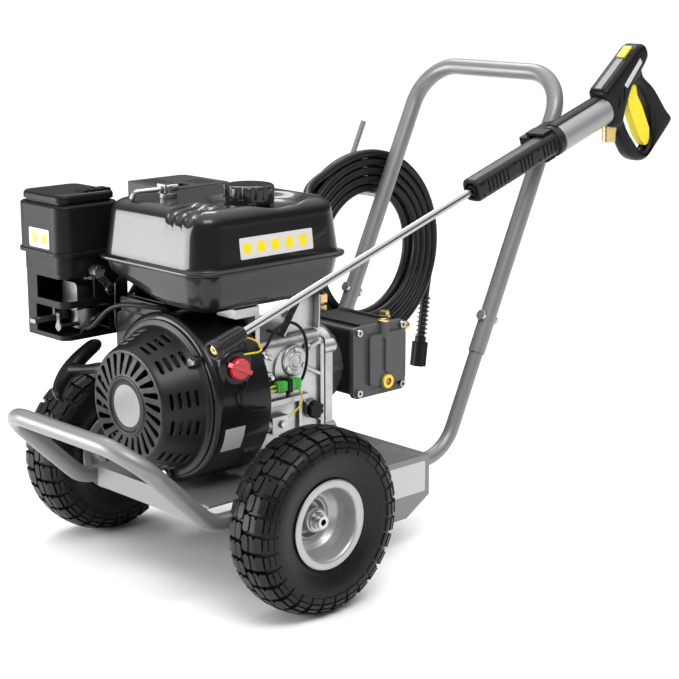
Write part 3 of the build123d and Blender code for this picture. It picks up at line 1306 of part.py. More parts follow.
def build_machine():
    """All the pieces by name."""
    tyre = make_tyre()
    rim = make_rim()
    case = make_crankcase()
    head = make_cylinder_head(case)
    valve_cover = make_valve_cover()
    return {
        "tyre_left": placed_wheel(tyre, -1),
        "tyre_right": placed_wheel(tyre, 1),
        "rim_left": placed_wheel(rim, -1),
        "rim_right": placed_wheel(rim, 1),
        "axle": make_axle(),
        "base_plate": make_base_plate(),
        "rear_feet": make_rear_feet(),
        "front_bumper": make_front_bumper(),
        "lower_tubes": make_lower_tubes(),
        "push_handle": make_push_handle(),
        "hose_hook": make_hose_hook(),
        "lance_clip": make_lance_clip(),
        "fasteners": make_fasteners(),
        "crankcase": case,
        "crankcase_cover": make_crankcase_cover(),
        "cylinder_head": head,
        "valve_cover": valve_cover,
        "fan_cover": make_fan_cover(),
        "engine_switch": make_engine_switch(),
        "recoil_housing": make_recoil_housing(),
        "recoil_reel": make_recoil_reel(),
        "pull_grip": make_pull_grip(),
        "flywheel": make_flywheel(),
        "crankshaft": make_crankshaft(),
        "fuel_tank": make_fuel_tank(),
        "fuel_cap": make_fuel_cap(),
        "tank_vent": make_tank_vent(),
        "tank_bracket": make_tank_bracket(),
        "filter_cover": make_filter_cover(),
        "filter_base": make_filter_base(),
        "carburettor": make_carburettor(head, valve_cover),
        "choke_lever": make_choke_lever(),
        "throttle_lever": make_throttle_lever(),
        "fuel_tap_lever": make_fuel_tap_lever(),
        "fuel_hose": make_fuel_hose(),
        "muffler": make_muffler(head),
        "muffler_guard": make_muffler_guard(),
        "oil_plug": make_oil_plug(),
        "wiring": make_wiring(),
        "pump_flange": make_pump_flange(),
        "pump_housing": make_pump_housing(),
        "pump_cover": make_pump_cover(),
        "sight_glass": make_sight_glass(),
        "pump_oil_cap": make_pump_oil_cap(),
        "pump_head": make_pump_head(),
        "pump_fittings": make_pump_fittings(),
        "nozzle_guard": make_nozzle_guard(),
        "nozzle": make_nozzle(),
        "lance_tube": make_lance_tube(),
        "lance_grip": make_lance_grip(),
        "flow_sleeve": make_flow_sleeve(),
        "gun_body": make_gun_body(),
        "trigger": make_trigger(),
        "safety_button": make_safety_button(),
        "gun_inlet": make_gun_inlet(),
        "hose_coil": make_hose_coil(),
        "hose_pump_tail": make_hose_tail(pump_tail_points(), "pump tail"),
        "hose_free_tail": make_hose_tail(free_tail_points(), "free tail"),
        "hose_bend_spring": make_bend_spring(),
        "hose_coupling": make_hose_coupling(),
    }


os.makedirs("parts", exist_ok=True)
machine = build_machine()
for name, shape in machine.items():
    solids = [Pos(-MIDDLE_X, 0, 0) * solid for solid in solids_of(shape)]
    export_step(solids[0] if len(solids) == 1 else Compound(children=solids), f"parts/{name}.step")
print("pieces", len(machine))
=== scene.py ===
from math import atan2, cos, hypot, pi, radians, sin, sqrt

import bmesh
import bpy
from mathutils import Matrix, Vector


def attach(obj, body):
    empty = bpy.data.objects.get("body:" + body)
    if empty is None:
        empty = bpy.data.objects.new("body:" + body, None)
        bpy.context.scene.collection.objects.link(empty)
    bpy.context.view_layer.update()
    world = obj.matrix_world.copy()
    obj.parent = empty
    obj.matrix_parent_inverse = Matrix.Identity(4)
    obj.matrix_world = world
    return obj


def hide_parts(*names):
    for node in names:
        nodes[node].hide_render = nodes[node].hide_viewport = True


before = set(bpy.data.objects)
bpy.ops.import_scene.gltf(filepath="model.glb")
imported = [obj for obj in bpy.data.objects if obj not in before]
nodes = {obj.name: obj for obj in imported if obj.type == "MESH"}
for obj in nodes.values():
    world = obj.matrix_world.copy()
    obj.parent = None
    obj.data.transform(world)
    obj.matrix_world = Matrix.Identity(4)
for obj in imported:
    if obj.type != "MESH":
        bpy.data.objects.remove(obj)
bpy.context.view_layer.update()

# %% [markdown]
# # Dressing a petrol pressure washer
# The machine comes in as a imported CAD model: every tube, casting and bolt is already in its true place
# and size. This lesson gives each of them a finish, and adds the pieces that CAD is clumsy at: knobbly
# tyres, a pressed steel tank, a moulded spray gun, and one long rubber hose. Nothing from the CAD model is
# moved.

MIDDLE_X = 287.96


def at(x, y, z):
    """A point of the machine, in millimetres from the axle line, as a point of the scene in metres."""
    return Vector(((x - MIDDLE_X) / 1000, y / 1000, z / 1000))


def mm(value):
    """A length in millimetres as metres."""
    return value / 1000


# %% [markdown]
# ## Camera
# The picture was taken from the front left corner, a little above the tank, with a long lens. The
# wheel's two ellipses and the frame's parallel tubes fix the place of such a camera, so it is written
# down as a place, two angles and a focal length in pixels of a square picture. A long lens keeps the
# far wheel nearly as large as the near one.

# %% The camera at the front left corner
PICTURE_PIXELS = 679
FOCAL_PIXELS = 1727.31
SENSOR_MM = 36.0
CAMERA_PLACE = at(-1497.4, -1876.1, 899.5)
CAMERA_YAW = 46.648
CAMERA_DROP = 13.195

lens = bpy.data.cameras.new("corner_camera")
lens.sensor_width = SENSOR_MM
lens.lens = FOCAL_PIXELS / PICTURE_PIXELS * SENSOR_MM
camera = bpy.data.objects.new("corner_camera", lens)
camera.location = CAMERA_PLACE
camera.rotation_euler = (radians(90 - CAMERA_DROP), 0, radians(CAMERA_YAW - 90))
bpy.context.scene.collection.objects.link(camera)
bpy.context.scene.camera = camera
print("camera at", [round(v, 3) for v in camera.location], "lens", round(lens.lens, 2), "mm")

# %% [markdown]
# ## Writing shader maths as arithmetic
# A finish is a small formula over the surface: a colour that drifts, a roughness that follows it, a
# fine grain. Adding nodes by hand hides that formula in boilerplate, so one small class wraps an output
# socket. Arithmetic on it adds Math nodes, also with a plain number on the left, and its method `node`
# adds any other node: settings first, then the values or links of its sockets.

# %% A socket that can be reckoned with
class Wire:
    """One output socket of a shader tree."""

    def __init__(self, tree, socket):
        self.tree = tree
        self.socket = socket

    def node(self, kind, settings=None, sockets=None, output=0):
        """Adds a node to the same tree and gives one of its outputs."""
        made = self.tree.nodes.new("ShaderNode" + kind)
        for name, value in (settings or {}).items():
            setattr(made, name, value)
        for name, value in (sockets or {}).items():
            self.feed(made.inputs[name], value)
        return Wire(self.tree, made.outputs[output])

    def feed(self, socket, value):
        """Links a wire to an input socket, or sets a plain value on it."""
        if isinstance(value, Wire):
            self.tree.links.new(value.socket, socket)
        else:
            socket.default_value = value

    def maths(self, operation, first, second):
        return self.node("Math", {"operation": operation}, {0: first, 1: second})

    def __add__(self, other):
        return self.maths("ADD", self, other)

    def __radd__(self, other):
        return self.maths("ADD", other, self)

    def __sub__(self, other):
        return self.maths("SUBTRACT", self, other)

    def __rsub__(self, other):
        return self.maths("SUBTRACT", other, self)

    def __mul__(self, other):
        return self.maths("MULTIPLY", self, other)

    def __rmul__(self, other):
        return self.maths("MULTIPLY", other, self)

    def clamped(self):
        return self.node("Clamp", {}, {"Value": self})

    def above(self, low, high):
        """0 below low, 1 above high, and a smooth step between them."""
        sockets = {"Value": self, "From Min": low, "From Max": high}
        return self.node("MapRange", {"interpolation_type": "SMOOTHSTEP"}, sockets)

    def mix(self, first, second):
        """The first colour where this wire is 0, the second where it is 1."""
        return self.node("Mix", {"data_type": "RGBA"}, {0: self, 6: first, 7: second}, output=2)


def grey(value, warm=0.0):
    """A colour near grey, a little warm above 0 and a little cool below."""
    return (value * (1 + warm), value, value * (1 - warm), 1.0)


print("shader arithmetic ready")

# %% [markdown]
# ## Light and floor
# The machine stands in a studio with a bright ceiling and dim walls: light falls from above, and the
# dim band at eye height is what keeps glossy black sheet metal black. The sky is a smooth step over
# height and the floor is a wide pale disc, white enough to throw light back up. Three soft panels shape
# the forms: one high over the near side, one at tank height on the far front, which the tank's front
# face mirrors, and one high behind for the edges of the handle.

# %% Sky, floor and soft panels
SKY_HORIZON = 0.10
SKY_TOP = 1.9
SKY_RISE = (0.28, 0.95)
FLOOR_RADIUS = 300.0
FLOOR_CORNERS = 96

scene = bpy.context.scene
scene.view_settings.view_transform = "Standard"
world = bpy.data.worlds.new("studio")
world.use_nodes = True
scene.world = world
sky = world.node_tree.nodes["Background"]
look = Wire(world.node_tree, world.node_tree.nodes.new("ShaderNodeTexCoord").outputs["Generated"])
sky_height = look.node("SeparateXYZ", {}, {"Vector": look}, output="Z")
look.feed(sky.inputs["Color"], sky_height.above(*SKY_RISE).mix(grey(SKY_HORIZON), grey(SKY_TOP)))


def soft_panel(name, place, target, width, height, watts):
    """A rectangular soft light at a place, facing a target."""
    light = bpy.data.lights.new(name, "AREA")
    light.shape = "RECTANGLE"
    light.size = width
    light.size_y = height
    light.energy = watts
    panel = bpy.data.objects.new(name, light)
    panel.location = place
    panel.rotation_euler = (Vector(target) - Vector(place)).to_track_quat("-Z", "Y").to_euler()
    scene.collection.objects.link(panel)


soft_panel("panel_over_near_side", (-1.0, -1.9, 2.9), (0.1, 0, 0.3), 1.8, 1.2, 60)
soft_panel("panel_far_front", (-2.47, 1.51, 0.62), (-0.77, -0.49, 0.5), 1.8, 1.2, 80)
soft_panel("panel_behind", (1.2, 2.0, 3.2), (0.2, 0, 0.3), 1.6, 1.0, 40)

floor_mesh = bpy.data.meshes.new("floor")
floor_form = bmesh.new()
bmesh.ops.create_circle(floor_form, cap_ends=True, radius=FLOOR_RADIUS, segments=FLOOR_CORNERS)
floor_form.to_mesh(floor_mesh)
floor_form.free()
floor = bpy.data.objects.new("floor", floor_mesh)
scene.collection.objects.link(floor)
print("floor", FLOOR_RADIUS, "m and", len(bpy.data.lights), "panels")

# %% [markdown]
# ## The hose
# Seven and a half metres of fourteen millimetre rubber hose leave the pump, climb over its corner, and
# hang in two layers of turns on the hook behind the far handle leg. One NURBS spline is the whole hose.
# The few points of its two tails are given one by one; the turns of the coil are worked out by a loop,
# winding inwards on the far layer and out again on the near one. Quadratic order keeps the bends soft, and
# the spline starts and ends on its end points.

# %% Points of the hose, from the pump to the hand nut
HOSE_DIA = 14.0
COIL_X = 500.0
COIL_Y = 171.5
COIL_Z = 382.0
COIL_OUTER_R = 166.0
COIL_PITCH = 14.6
COIL_START = 115.0
COIL_TURNS = 8
COIL_SOFT = 15.0
COIL_CLIMB = 90.0
POINTS_PER_TURN = 24
PUMP_TAIL = [(300, 75, 352), (300, 75, 404), (311, 98, 454), (333, 137, 487)]
FREE_TAIL = [(657, 187, 284), (648, 187.5, 208)]
TAIL_GAP = 14.0
PUMP_RUN = 58.0
FREE_RUN = 36.0

COIL_TOTAL = COIL_START + 360 * COIL_TURNS


def coil_place(turn):
    """A point on the coil's middle line after a number of degrees of winding."""
    from_middle = turn - COIL_TOTAL / 2
    reach = hypot(COIL_TOTAL / 2, COIL_SOFT) - hypot(from_middle, COIL_SOFT)
    radius = COIL_OUTER_R - COIL_PITCH / 360 * reach
    share = min(max((from_middle + COIL_CLIMB) / (2 * COIL_CLIMB), 0), 1)
    y = COIL_Y + COIL_PITCH * (3 * share**2 - 2 * share**3)
    angle = radians(COIL_START - turn)
    return Vector((COIL_X + radius * cos(angle), y, COIL_Z + radius * sin(angle)))


def coil_heading(turn):
    """The direction of the hose at a point of the coil."""
    return (coil_place(turn + 0.5) - coil_place(turn - 0.5)).normalized()


coil_first = coil_place(0)
coil_last = coil_place(COIL_TOTAL)
into_coil = coil_heading(0)
out_of_coil = coil_heading(COIL_TOTAL)
steps = round(COIL_TOTAL / 360 * POINTS_PER_TURN)
hose_points = [Vector(point) for point in PUMP_TAIL]
hose_points += [coil_first - into_coil * (PUMP_RUN + TAIL_GAP), coil_first - into_coil * TAIL_GAP]
hose_points += [coil_place(COIL_TOTAL * step / steps) for step in range(steps + 1)]
hose_points += [coil_last + out_of_coil * TAIL_GAP, coil_last + out_of_coil * (TAIL_GAP + FREE_RUN)]
hose_points += [Vector(point) for point in FREE_TAIL]
print("hose points:", len(hose_points))

# %% [markdown]
# A cord of any kind here is the same thing: a NURBS curve with a round bevel. The bevel is one metre
# deep and each point scales it down to the cord's radius, so that the curve's own box is as thick as
# the cord. The order is set after the points are added, because a spline with too few points falls back
# to straight runs.

# %% A round cord along a route
def cord_curve(name, places, diameter, smoothness=8, roundness=5):
    """A curve of one open NURBS spline along places of the scene, with a round section."""
    curve = bpy.data.curves.new(name, "CURVE")
    curve.dimensions = "3D"
    curve.bevel_depth = 1.0
    curve.bevel_resolution = roundness
    curve.use_fill_caps = True
    curve.resolution_u = smoothness
    spline = curve.splines.new("NURBS")
    spline.points.add(len(places) - 1)
    for knot, place in zip(spline.points, places):
        knot.co = (*place, 1.0)
        knot.radius = mm(diameter / 2)
    spline.order_u = 3
    spline.use_endpoint_u = True
    return curve


def add_piece(name, data, body, slot, *replaced):
    """Puts a new piece on its body and hides the nodes that it stands for; the slot is not used."""
    piece = bpy.data.objects.new(name, data)
    scene.collection.objects.link(piece)
    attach(piece, body)
    if replaced:
        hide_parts(*replaced)
    return piece


def route_line(curve_object):
    """The smooth line of a cord as points, read from its spline with the round section taken off."""
    bare = curve_object.data.copy()
    bare.bevel_depth = 0
    holder = bpy.data.objects.new("route_reader", bare)
    scene.collection.objects.link(holder)
    line = bpy.data.meshes.new_from_object(holder.evaluated_get(bpy.context.evaluated_depsgraph_get()))
    points = [vertex.co.copy() for vertex in line.vertices]
    bpy.data.objects.remove(holder)
    bpy.data.meshes.remove(line)
    return points


def line_length(line):
    """The length of a line of points, in metres."""
    return sum((after - before).length for before, after in zip(line, line[1:]))


hose_curve = cord_curve("pressure_hose", [at(*point) for point in hose_points], HOSE_DIA)
hose = add_piece(
    "pressure_hose", hose_curve, "chassis", "rubber_black", "hose_coil", "hose_pump_tail",
    "hose_free_tail",
)
hose_line = route_line(hose)
print("hose length:", round(line_length(hose_line), 3), "m")

# %% [markdown]
# ## Finishes
# Most of the machine is painted, moulded or cast: one colour that drifts a little, a fine grain, and
# corners that are softly broken, because no pressing or moulding has a knife edge. One function makes all
# of these. The Bevel node gives the rounded corner, and where its normal turns away from the surface's own
# there is an edge, which gets a lighter tone: part wear, part a painted highlight. The drift and the grain
# are noise in the piece's own coordinates, so they ride along when it moves.

# %% One recipe for painted, moulded and cast surfaces
CLOUD_SCALE = 14
EDGE_GAIN = 3.5
SHEEN_AND_WEAR_LEAST = 0.45
SHEEN_AND_WEAR_BY_GRAIN = 0.5
GRAIN_ROUGHNESS = 0.06


def blank_finish(name, **fixed):
    """A new material with its shader, and the point on the piece in metres."""
    material = bpy.data.materials.new(name)
    material.use_nodes = True
    tree = material.node_tree
    shader = tree.nodes["Principled BSDF"]
    for socket, value in fixed.items():
        shader.inputs[socket.replace("_", " ").title().replace("Ior", "IOR")].default_value = value
    place = Wire(tree, tree.nodes.new("ShaderNodeTexCoord").outputs["Object"])
    return material, shader, place


def noise(place, scale, detail=3.0, rough=0.55):
    """Soft noise over the surface, in cells per metre."""
    return place.node(
        "TexNoise", {}, {"Vector": place, "Scale": scale, "Detail": detail, "Roughness": rough},
    )


def rounded_corners(place, radius_mm):
    """The normal of the surface with its corners broken, and how near an edge is, from 0 to 1."""
    soft = place.node("Bevel", {"samples": 4}, {"Radius": mm(radius_mm)})
    own = place.node("NewGeometry", output="Normal")
    agree = place.node("VectorMath", {"operation": "DOT_PRODUCT"}, {0: soft, 1: own}, output="Value")
    return soft, ((1 - agree) * EDGE_GAIN).clamped()


def shade(colour, share):
    """A colour made darker, or lighter up to white, by a share of each of its parts."""
    return tuple(min(v * share, 1.0) for v in colour[:3]) + (1.0,)


def lay_on(place, shader, colour, rough, relief, depth, normal):
    """Feeds a shader with a colour, a roughness, and a relief of a depth in millimetres on a normal."""
    place.feed(shader.inputs["Base Color"], colour)
    place.feed(shader.inputs["Roughness"], rough.clamped())
    bump = {"Strength": 1.0, "Distance": mm(depth), "Height": relief, "Normal": normal}
    place.feed(shader.inputs["Normal"], place.node("Bump", {}, bump))


def plain_finish(
    name, colour, rough, drift=0.12, rough_drift=0.10, grain=700, depth=0.02, corner=0.8, worn_and_sheen=None, **fixed
):
    """A painted, moulded or cast finish: drifting colour and gloss, a fine grain, broken corners, and edges
    lightened by wear and a painted highlight.
    """
    material, shader, place = blank_finish(name, **fixed)
    cloud = noise(place, CLOUD_SCALE, 4)
    fine = noise(place, grain, 2)
    soft, edge = rounded_corners(place, corner)
    paint = cloud.above(0.25, 0.75).mix(shade(colour, 1 - drift), shade(colour, 1 + drift))
    # Lighter edges, where a colour for them is given: part wear, part a painted highlight.
    if worn_and_sheen:
        paint = (edge * (SHEEN_AND_WEAR_LEAST + SHEEN_AND_WEAR_BY_GRAIN * fine)).mix(paint, worn_and_sheen)
    gloss = rough - rough_drift / 2 + rough_drift * cloud + GRAIN_ROUGHNESS * fine
    lay_on(place, shader, paint, gloss, fine, depth, soft)
    return material


frame_grey = plain_finish(
    "frame_powder_coat", grey(0.19, -0.012), 0.36, drift=0.05, grain=900, depth=0.05, worn_and_sheen=grey(0.28),
    metallic=0.35, coat_weight=0.2, coat_roughness=0.2,
)
tank_black = plain_finish(
    "tank_black_enamel", grey(0.0045), 0.36, drift=0.2, grain=420, depth=0.02, corner=1.6,
    worn_and_sheen=grey(0.014), specular_ior_level=0.15, coat_weight=1.0, coat_roughness=0.11, coat_ior=1.36,
)
engine_black = plain_finish(
    "engine_black_enamel", grey(0.0045), 0.34, drift=0.2, grain=420, depth=0.03, corner=1.6,
    worn_and_sheen=grey(0.018), specular_ior_level=0.15, coat_weight=0.45, coat_roughness=0.10, coat_ior=1.4,
)
moulded_black = plain_finish(
    "moulded_black", grey(0.005), 0.34, drift=0.18, grain=1300, depth=0.035, corner=1.0, worn_and_sheen=grey(0.024),
    specular_ior_level=0.17,
)
starter_grey = plain_finish(
    "starter_housing_black", grey(0.0075, -0.02), 0.34, drift=0.12, grain=1100, depth=0.04, corner=1.2,
    worn_and_sheen=grey(0.045), specular_ior_level=0.28,
)
guard_grey = plain_finish(
    "guard_dark_grey", grey(0.013), 0.34, drift=0.15, grain=1300, depth=0.03, corner=1.0, worn_and_sheen=grey(0.06),
    specular_ior_level=0.24,
)
gloss_black = plain_finish(
    "cap_gloss_black", grey(0.0045), 0.16, drift=0.2, grain=300, depth=0.01, corner=1.4, worn_and_sheen=grey(0.014),
    specular_ior_level=0.3, coat_weight=0.5, coat_roughness=0.06,
)
pump_black = plain_finish(
    "pump_black_coat", grey(0.015, -0.01), 0.4, drift=0.15, grain=800, depth=0.06, corner=1.2,
    worn_and_sheen=grey(0.06), specular_ior_level=0.3, coat_weight=0.1, coat_roughness=0.25,
)
# Painted sheen: the pump's flange and cover get a lighter copy of its black coat, standing for the grey
# sheen that they reflect.
pump_painted_sheen = plain_finish(
    "pump_painted_sheen_coat", grey(0.065, -0.01), 0.42, drift=0.15, grain=800, depth=0.06, corner=1.2,
    worn_and_sheen=grey(0.14), specular_ior_level=0.45, coat_weight=0.1, coat_roughness=0.25,
)
rim_paint = plain_finish(
    "rim_silver_paint", grey(0.40), 0.32, drift=0.03, grain=1500, depth=0.015, corner=1.4,
    worn_and_sheen=grey(0.52), metallic=0.6, coat_weight=0.2, coat_roughness=0.2,
)
sleeve_silver = plain_finish(
    "sleeve_silver", grey(0.30, -0.01), 0.34, drift=0.03, grain=1600, depth=0.012, worn_and_sheen=grey(0.4),
    metallic=0.45,
)
signal_yellow = plain_finish(
    "signal_yellow", (0.83, 0.66, 0.008, 1), 0.36, drift=0.04, grain=1300, depth=0.02,
    worn_and_sheen=(0.9, 0.76, 0.05, 1),
)
switch_red = plain_finish(
    "switch_red", (0.58, 0.010, 0.022, 1), 0.28, drift=0.06, grain=1000, depth=0.015,
    worn_and_sheen=(0.75, 0.05, 0.06, 1), coat_weight=0.3, coat_roughness=0.12,
)
plug_green = plain_finish(
    "plug_green", (0.035, 0.36, 0.03, 1), 0.3, drift=0.1, grain=700, depth=0.02,
    worn_and_sheen=(0.08, 0.5, 0.07, 1),
)
wire_yellow = plain_finish("wire_yellow", (0.75, 0.57, 0.01, 1), 0.4, drift=0.06, grain=900, depth=0.01)
print("painted and moulded finishes:", len(bpy.data.materials))

# %% [markdown]
# Cast aluminium is a metal with a skin: a pebbled grain from the mould, clouds where the melt cooled, and
# bright corners, part wear and part painted highlight. Its tone is darkened in its hollows, which an
# Ambient Occlusion node finds: painted shade, together with the dust that settles where no hand wipes.
# Machined brass, plated steel and the polished lance tube are the same idea with less skin and more shine;
# the lance adds fine streaks drawn out along its length, made by squeezing the noise along one direction.

# %% Metals
METAL_CLOUD_SCALE = 22
METAL_GRAIN_ROUGHNESS = 0.08
SHADE_REACH = 16
SHADE_STEP = (0.12, 0.8)
SHADE_TONE = 0.08
SHADE_SHARE = 0.85
EDGE_TONE = 1.12
EDGE_SHARE = 0.8
STREAK_SIZE = (0.12, 0.0012, 0.0012)


def painted_hollow_shade(place, reach_mm):
    """How deep in a corner or a gap a point lies, from 0 in the open to 1: the mask of a painted shade."""
    open_share = place.node("AmbientOcclusion", {"samples": 5}, {"Distance": mm(reach_mm)}, output="AO")
    return (1 - open_share).above(*SHADE_STEP)


def metal_finish(
    name, colour, rough, cloud_depth=0.15, grain=500, depth=0.03, corner=0.8, rough_drift=0.16, **fixed,
):
    """Bare metal with a cloudy tone, a grain, painted shade in its hollows, and bright corners that are
    part wear and part painted highlight.
    """
    material, shader, place = blank_finish(name, metallic=1.0, **fixed)
    cloud = noise(place, METAL_CLOUD_SCALE, 5, 0.6)
    fine = noise(place, grain, 3)
    soft, edge = rounded_corners(place, corner)
    tone = cloud.above(0.2, 0.8).mix(shade(colour, 1 - cloud_depth), colour)
    # Painted shade: the tone falls towards a dark copy of the colour in hollows and gaps.
    tone = (painted_hollow_shade(place, SHADE_REACH) * SHADE_SHARE).mix(tone, shade(colour, SHADE_TONE))
    # Bright corners: part wear, part a painted highlight.
    tone = (edge * EDGE_SHARE).mix(tone, shade(colour, EDGE_TONE))
    gloss = rough - rough_drift / 2 + rough_drift * cloud + METAL_GRAIN_ROUGHNESS * fine
    lay_on(place, shader, tone, gloss, fine, depth, soft)
    return material


cast_aluminium = metal_finish("cast_aluminium", grey(0.60), 0.34, 0.36, grain=650, depth=0.10, corner=1.4)
carb_alloy = metal_finish("carburettor_alloy", grey(0.22), 0.34, 0.3, grain=500, depth=0.06, corner=1.2)
bright_zinc = metal_finish("bright_zinc", grey(0.58, -0.02), 0.24, 0.25, grain=300, depth=0.02)
brass = metal_finish("turned_brass", (0.83, 0.60, 0.26, 1), 0.24, 0.18, grain=500, depth=0.015)
dull_metal = metal_finish("dull_plated_tube", grey(0.42), 0.34, 0.25, grain=400, depth=0.03)
grey_iron = metal_finish("grey_iron", grey(0.22), 0.6, 0.3, grain=500, depth=0.12)
forged_steel = metal_finish("forged_steel", grey(0.5), 0.35, 0.2, grain=300, depth=0.03)
hot_steel = metal_finish("exhaust_steel", (0.33, 0.29, 0.26, 1), 0.5, 0.4, grain=240, depth=0.06)


def drawn_steel(name, tilt):
    """Polished tube with fine streaks along its length, which leans by tilt degrees from level."""
    material, shader, place = blank_finish(name, metallic=1.0)
    settings = {"vector_type": "TEXTURE"}
    sockets = {"Vector": place, "Rotation": (0.0, radians(-tilt), 0.0), "Scale": STREAK_SIZE}
    streak = noise(place.node("Mapping", settings, sockets), 1.0, 3)
    tone = streak.above(0.2, 0.8).mix(grey(0.32), grey(0.46))
    place.feed(shader.inputs["Base Color"], tone)
    place.feed(shader.inputs["Roughness"], 0.09 + 0.12 * streak)
    place.feed(shader.inputs["Normal"], place.node("Bump", {}, {"Distance": mm(0.01), "Height": streak}))
    return material


LANCE_TILT = 18.0
lance_steel = drawn_steel("lance_steel", LANCE_TILT)
print("metals ready")

# %% [markdown]
# Rubber scatters light broadly and is never quite black. Tyres carry a dull bloom in the recesses and a
# pebbled skin; the hose cover has the imprint of the cloth that it was cured in, which shows as a fine
# cross-hatch. Two waves at right angles would need coordinates along the hose, so a fine cell pattern
# stands in for it.

# %% Rubber for tyres, hose and feet
RUBBER_CLOUD_SCALE = 30
RUBBER_CORNER = 0.9
BLOOM_SHARE = 0.6
BLOOM_EDGE = 0.5
BLOOM_ROUGHNESS = 0.14


def rubber_finish(name, colour, rough, cell_scale, depth, bloom):
    """Rubber with a pebbled skin, cloudy tone and a dull bloom."""
    material, shader, place = blank_finish(name, specular_ior_level=0.22)
    cloud = noise(place, RUBBER_CLOUD_SCALE, 4)
    settings = {"feature": "F1", "distance": "EUCLIDEAN"}
    cells = place.node("TexVoronoi", settings, {"Vector": place, "Scale": cell_scale}, output="Distance")
    soft, edge = rounded_corners(place, RUBBER_CORNER)
    tone = (cloud.above(0.3, 0.75) * BLOOM_SHARE).mix(colour, bloom)
    tone = (edge * BLOOM_EDGE).mix(tone, bloom)
    lay_on(place, shader, tone, rough + BLOOM_ROUGHNESS * cloud, cells, depth, soft)
    return material


tyre_rubber = rubber_finish("tyre_rubber", grey(0.0045), 0.30, 900, 0.05, grey(0.010))
hose_rubber = rubber_finish("hose_rubber", grey(0.006), 0.32, 620, 0.10, grey(0.012))
soft_rubber = rubber_finish("foot_rubber", grey(0.012), 0.6, 800, 0.05, grey(0.025))
print("rubbers ready")

# %% [markdown]
# The sight glass is one small piece with three colours: a yellow ring, a dark red lens in it, and an
# amber glint in the lens's middle. The distance from the middle, measured across the cover, chooses
# between them.

# %% Sight glass
SIGHT_PLACE = at(278, -98, 247)
RING_FROM = (5.3, 5.9)
LENS_FROM = (2.4, 3.4)
RING_YELLOW = (0.86, 0.60, 0.008, 1)
LENS_RED = (0.22, 0.012, 0.006, 1)
GLINT_AMBER = (0.5, 0.16, 0.02, 1)


def sight_finish():
    """A yellow ring round a dark red lens with an amber middle."""
    material, shader, place = blank_finish(
        "sight_glass", roughness=0.14, coat_weight=0.5, coat_roughness=0.05,
    )
    flat = {0: place, 1: tuple(SIGHT_PLACE)}
    offset = place.node("VectorMath", {"operation": "SUBTRACT"}, flat)
    across = place.node("VectorMath", {"operation": "MULTIPLY"}, {0: offset, 1: (1.0, 0.0, 1.0)})
    radius = place.node("VectorMath", {"operation": "LENGTH"}, {0: across}, output="Value")
    ring = radius.above(*map(mm, RING_FROM))
    lens_tone = radius.above(*map(mm, LENS_FROM)).mix(GLINT_AMBER, LENS_RED)
    place.feed(shader.inputs["Base Color"], ring.mix(lens_tone, RING_YELLOW))
    return material


sight_glass = sight_finish()
print("sight glass ready")

# %% [markdown]
# The floor is plain and pale. A breath of noise in its roughness keeps it from looking like a paper
# cut-out.

# %% Floor finish
floor_finish, floor_shader, floor_place = blank_finish("pale_floor")
floor_shader.inputs["Base Color"].default_value = grey(0.93)
floor_place.feed(floor_shader.inputs["Roughness"], 0.55 + 0.2 * noise(floor_place, 3))
floor_mesh.materials.append(floor_finish)
print("floor finish ready")

# %% [markdown]
# ## Which finish goes where
# Each CAD node gets one finish. A node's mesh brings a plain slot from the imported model, which is
# swapped for ours.

# %% Finishes of the CAD nodes
NODE_FINISHES = {
    frame_grey: "base_plate lower_tubes push_handle front_bumper hose_hook",
    bright_zinc: "axle fasteners throttle_lever",
    soft_rubber: "rear_feet",
    moulded_black: "lance_clip filter_base filter_cover oil_plug pull_grip recoil_reel hose_coupling "
    "gun_body",
    guard_grey: "nozzle_guard lance_grip",
    cast_aluminium: "crankcase crankcase_cover cylinder_head tank_bracket",
    carb_alloy: "carburettor choke_lever fuel_tap_lever",
    engine_black: "fan_cover valve_cover",
    tank_black: "fuel_tank",
    starter_grey: "recoil_housing",
    gloss_black: "fuel_cap",
    dull_metal: "tank_vent",
    hot_steel: "muffler",
    grey_iron: "flywheel",
    forged_steel: "crankshaft",
    switch_red: "engine_switch",
    pump_black: "pump_housing pump_head muffler_guard",
    pump_painted_sheen: "pump_flange pump_cover",
    brass: "pump_fittings pump_oil_cap nozzle gun_inlet",
    sight_glass: "sight_glass",
    lance_steel: "lance_tube",
    sleeve_silver: "flow_sleeve",
    signal_yellow: "trigger safety_button",
    rim_paint: "rim_left rim_right",
    tyre_rubber: "tyre_left tyre_right",
}


def wear(piece, finish):
    """Gives a piece one finish."""
    piece.data.materials.clear()
    piece.data.materials.append(finish)


for finish, names in NODE_FINISHES.items():
    for name in names.split():
        wear(nodes[name], finish)
wear(hose, hose_rubber)
print("finished nodes:", sum(len(names.split()) for names in NODE_FINISHES.values()))

# %% [markdown]
# ## The hose's free end
# Where the hose hangs free it is kept from kinking by a sheath of spring wire, ending in a ribbed hand
# nut. The spring is a helix round the smooth line of the hose, so its points are read from that line: a
# frame is carried along it, and the wire circles in that frame.

# %% Bend spring round the free end
SPRING_R = 9.4
SPRING_WIRE = 2.6
SPRING_CURLS = 9
SPRING_LENGTH = 70.0
CURL_POINTS = 14


def line_from_end(line, distance):
    """The place at a distance back from the end of a line, and the direction towards the end."""
    left = distance
    for after, before in zip(reversed(line), reversed(line[:-1])):
        run = (after - before).length
        if run > 0 and left <= run:
            return after + (before - after) * (left / run), (after - before).normalized()
        left -= run
    return line[0], (line[1] - line[0]).normalized()


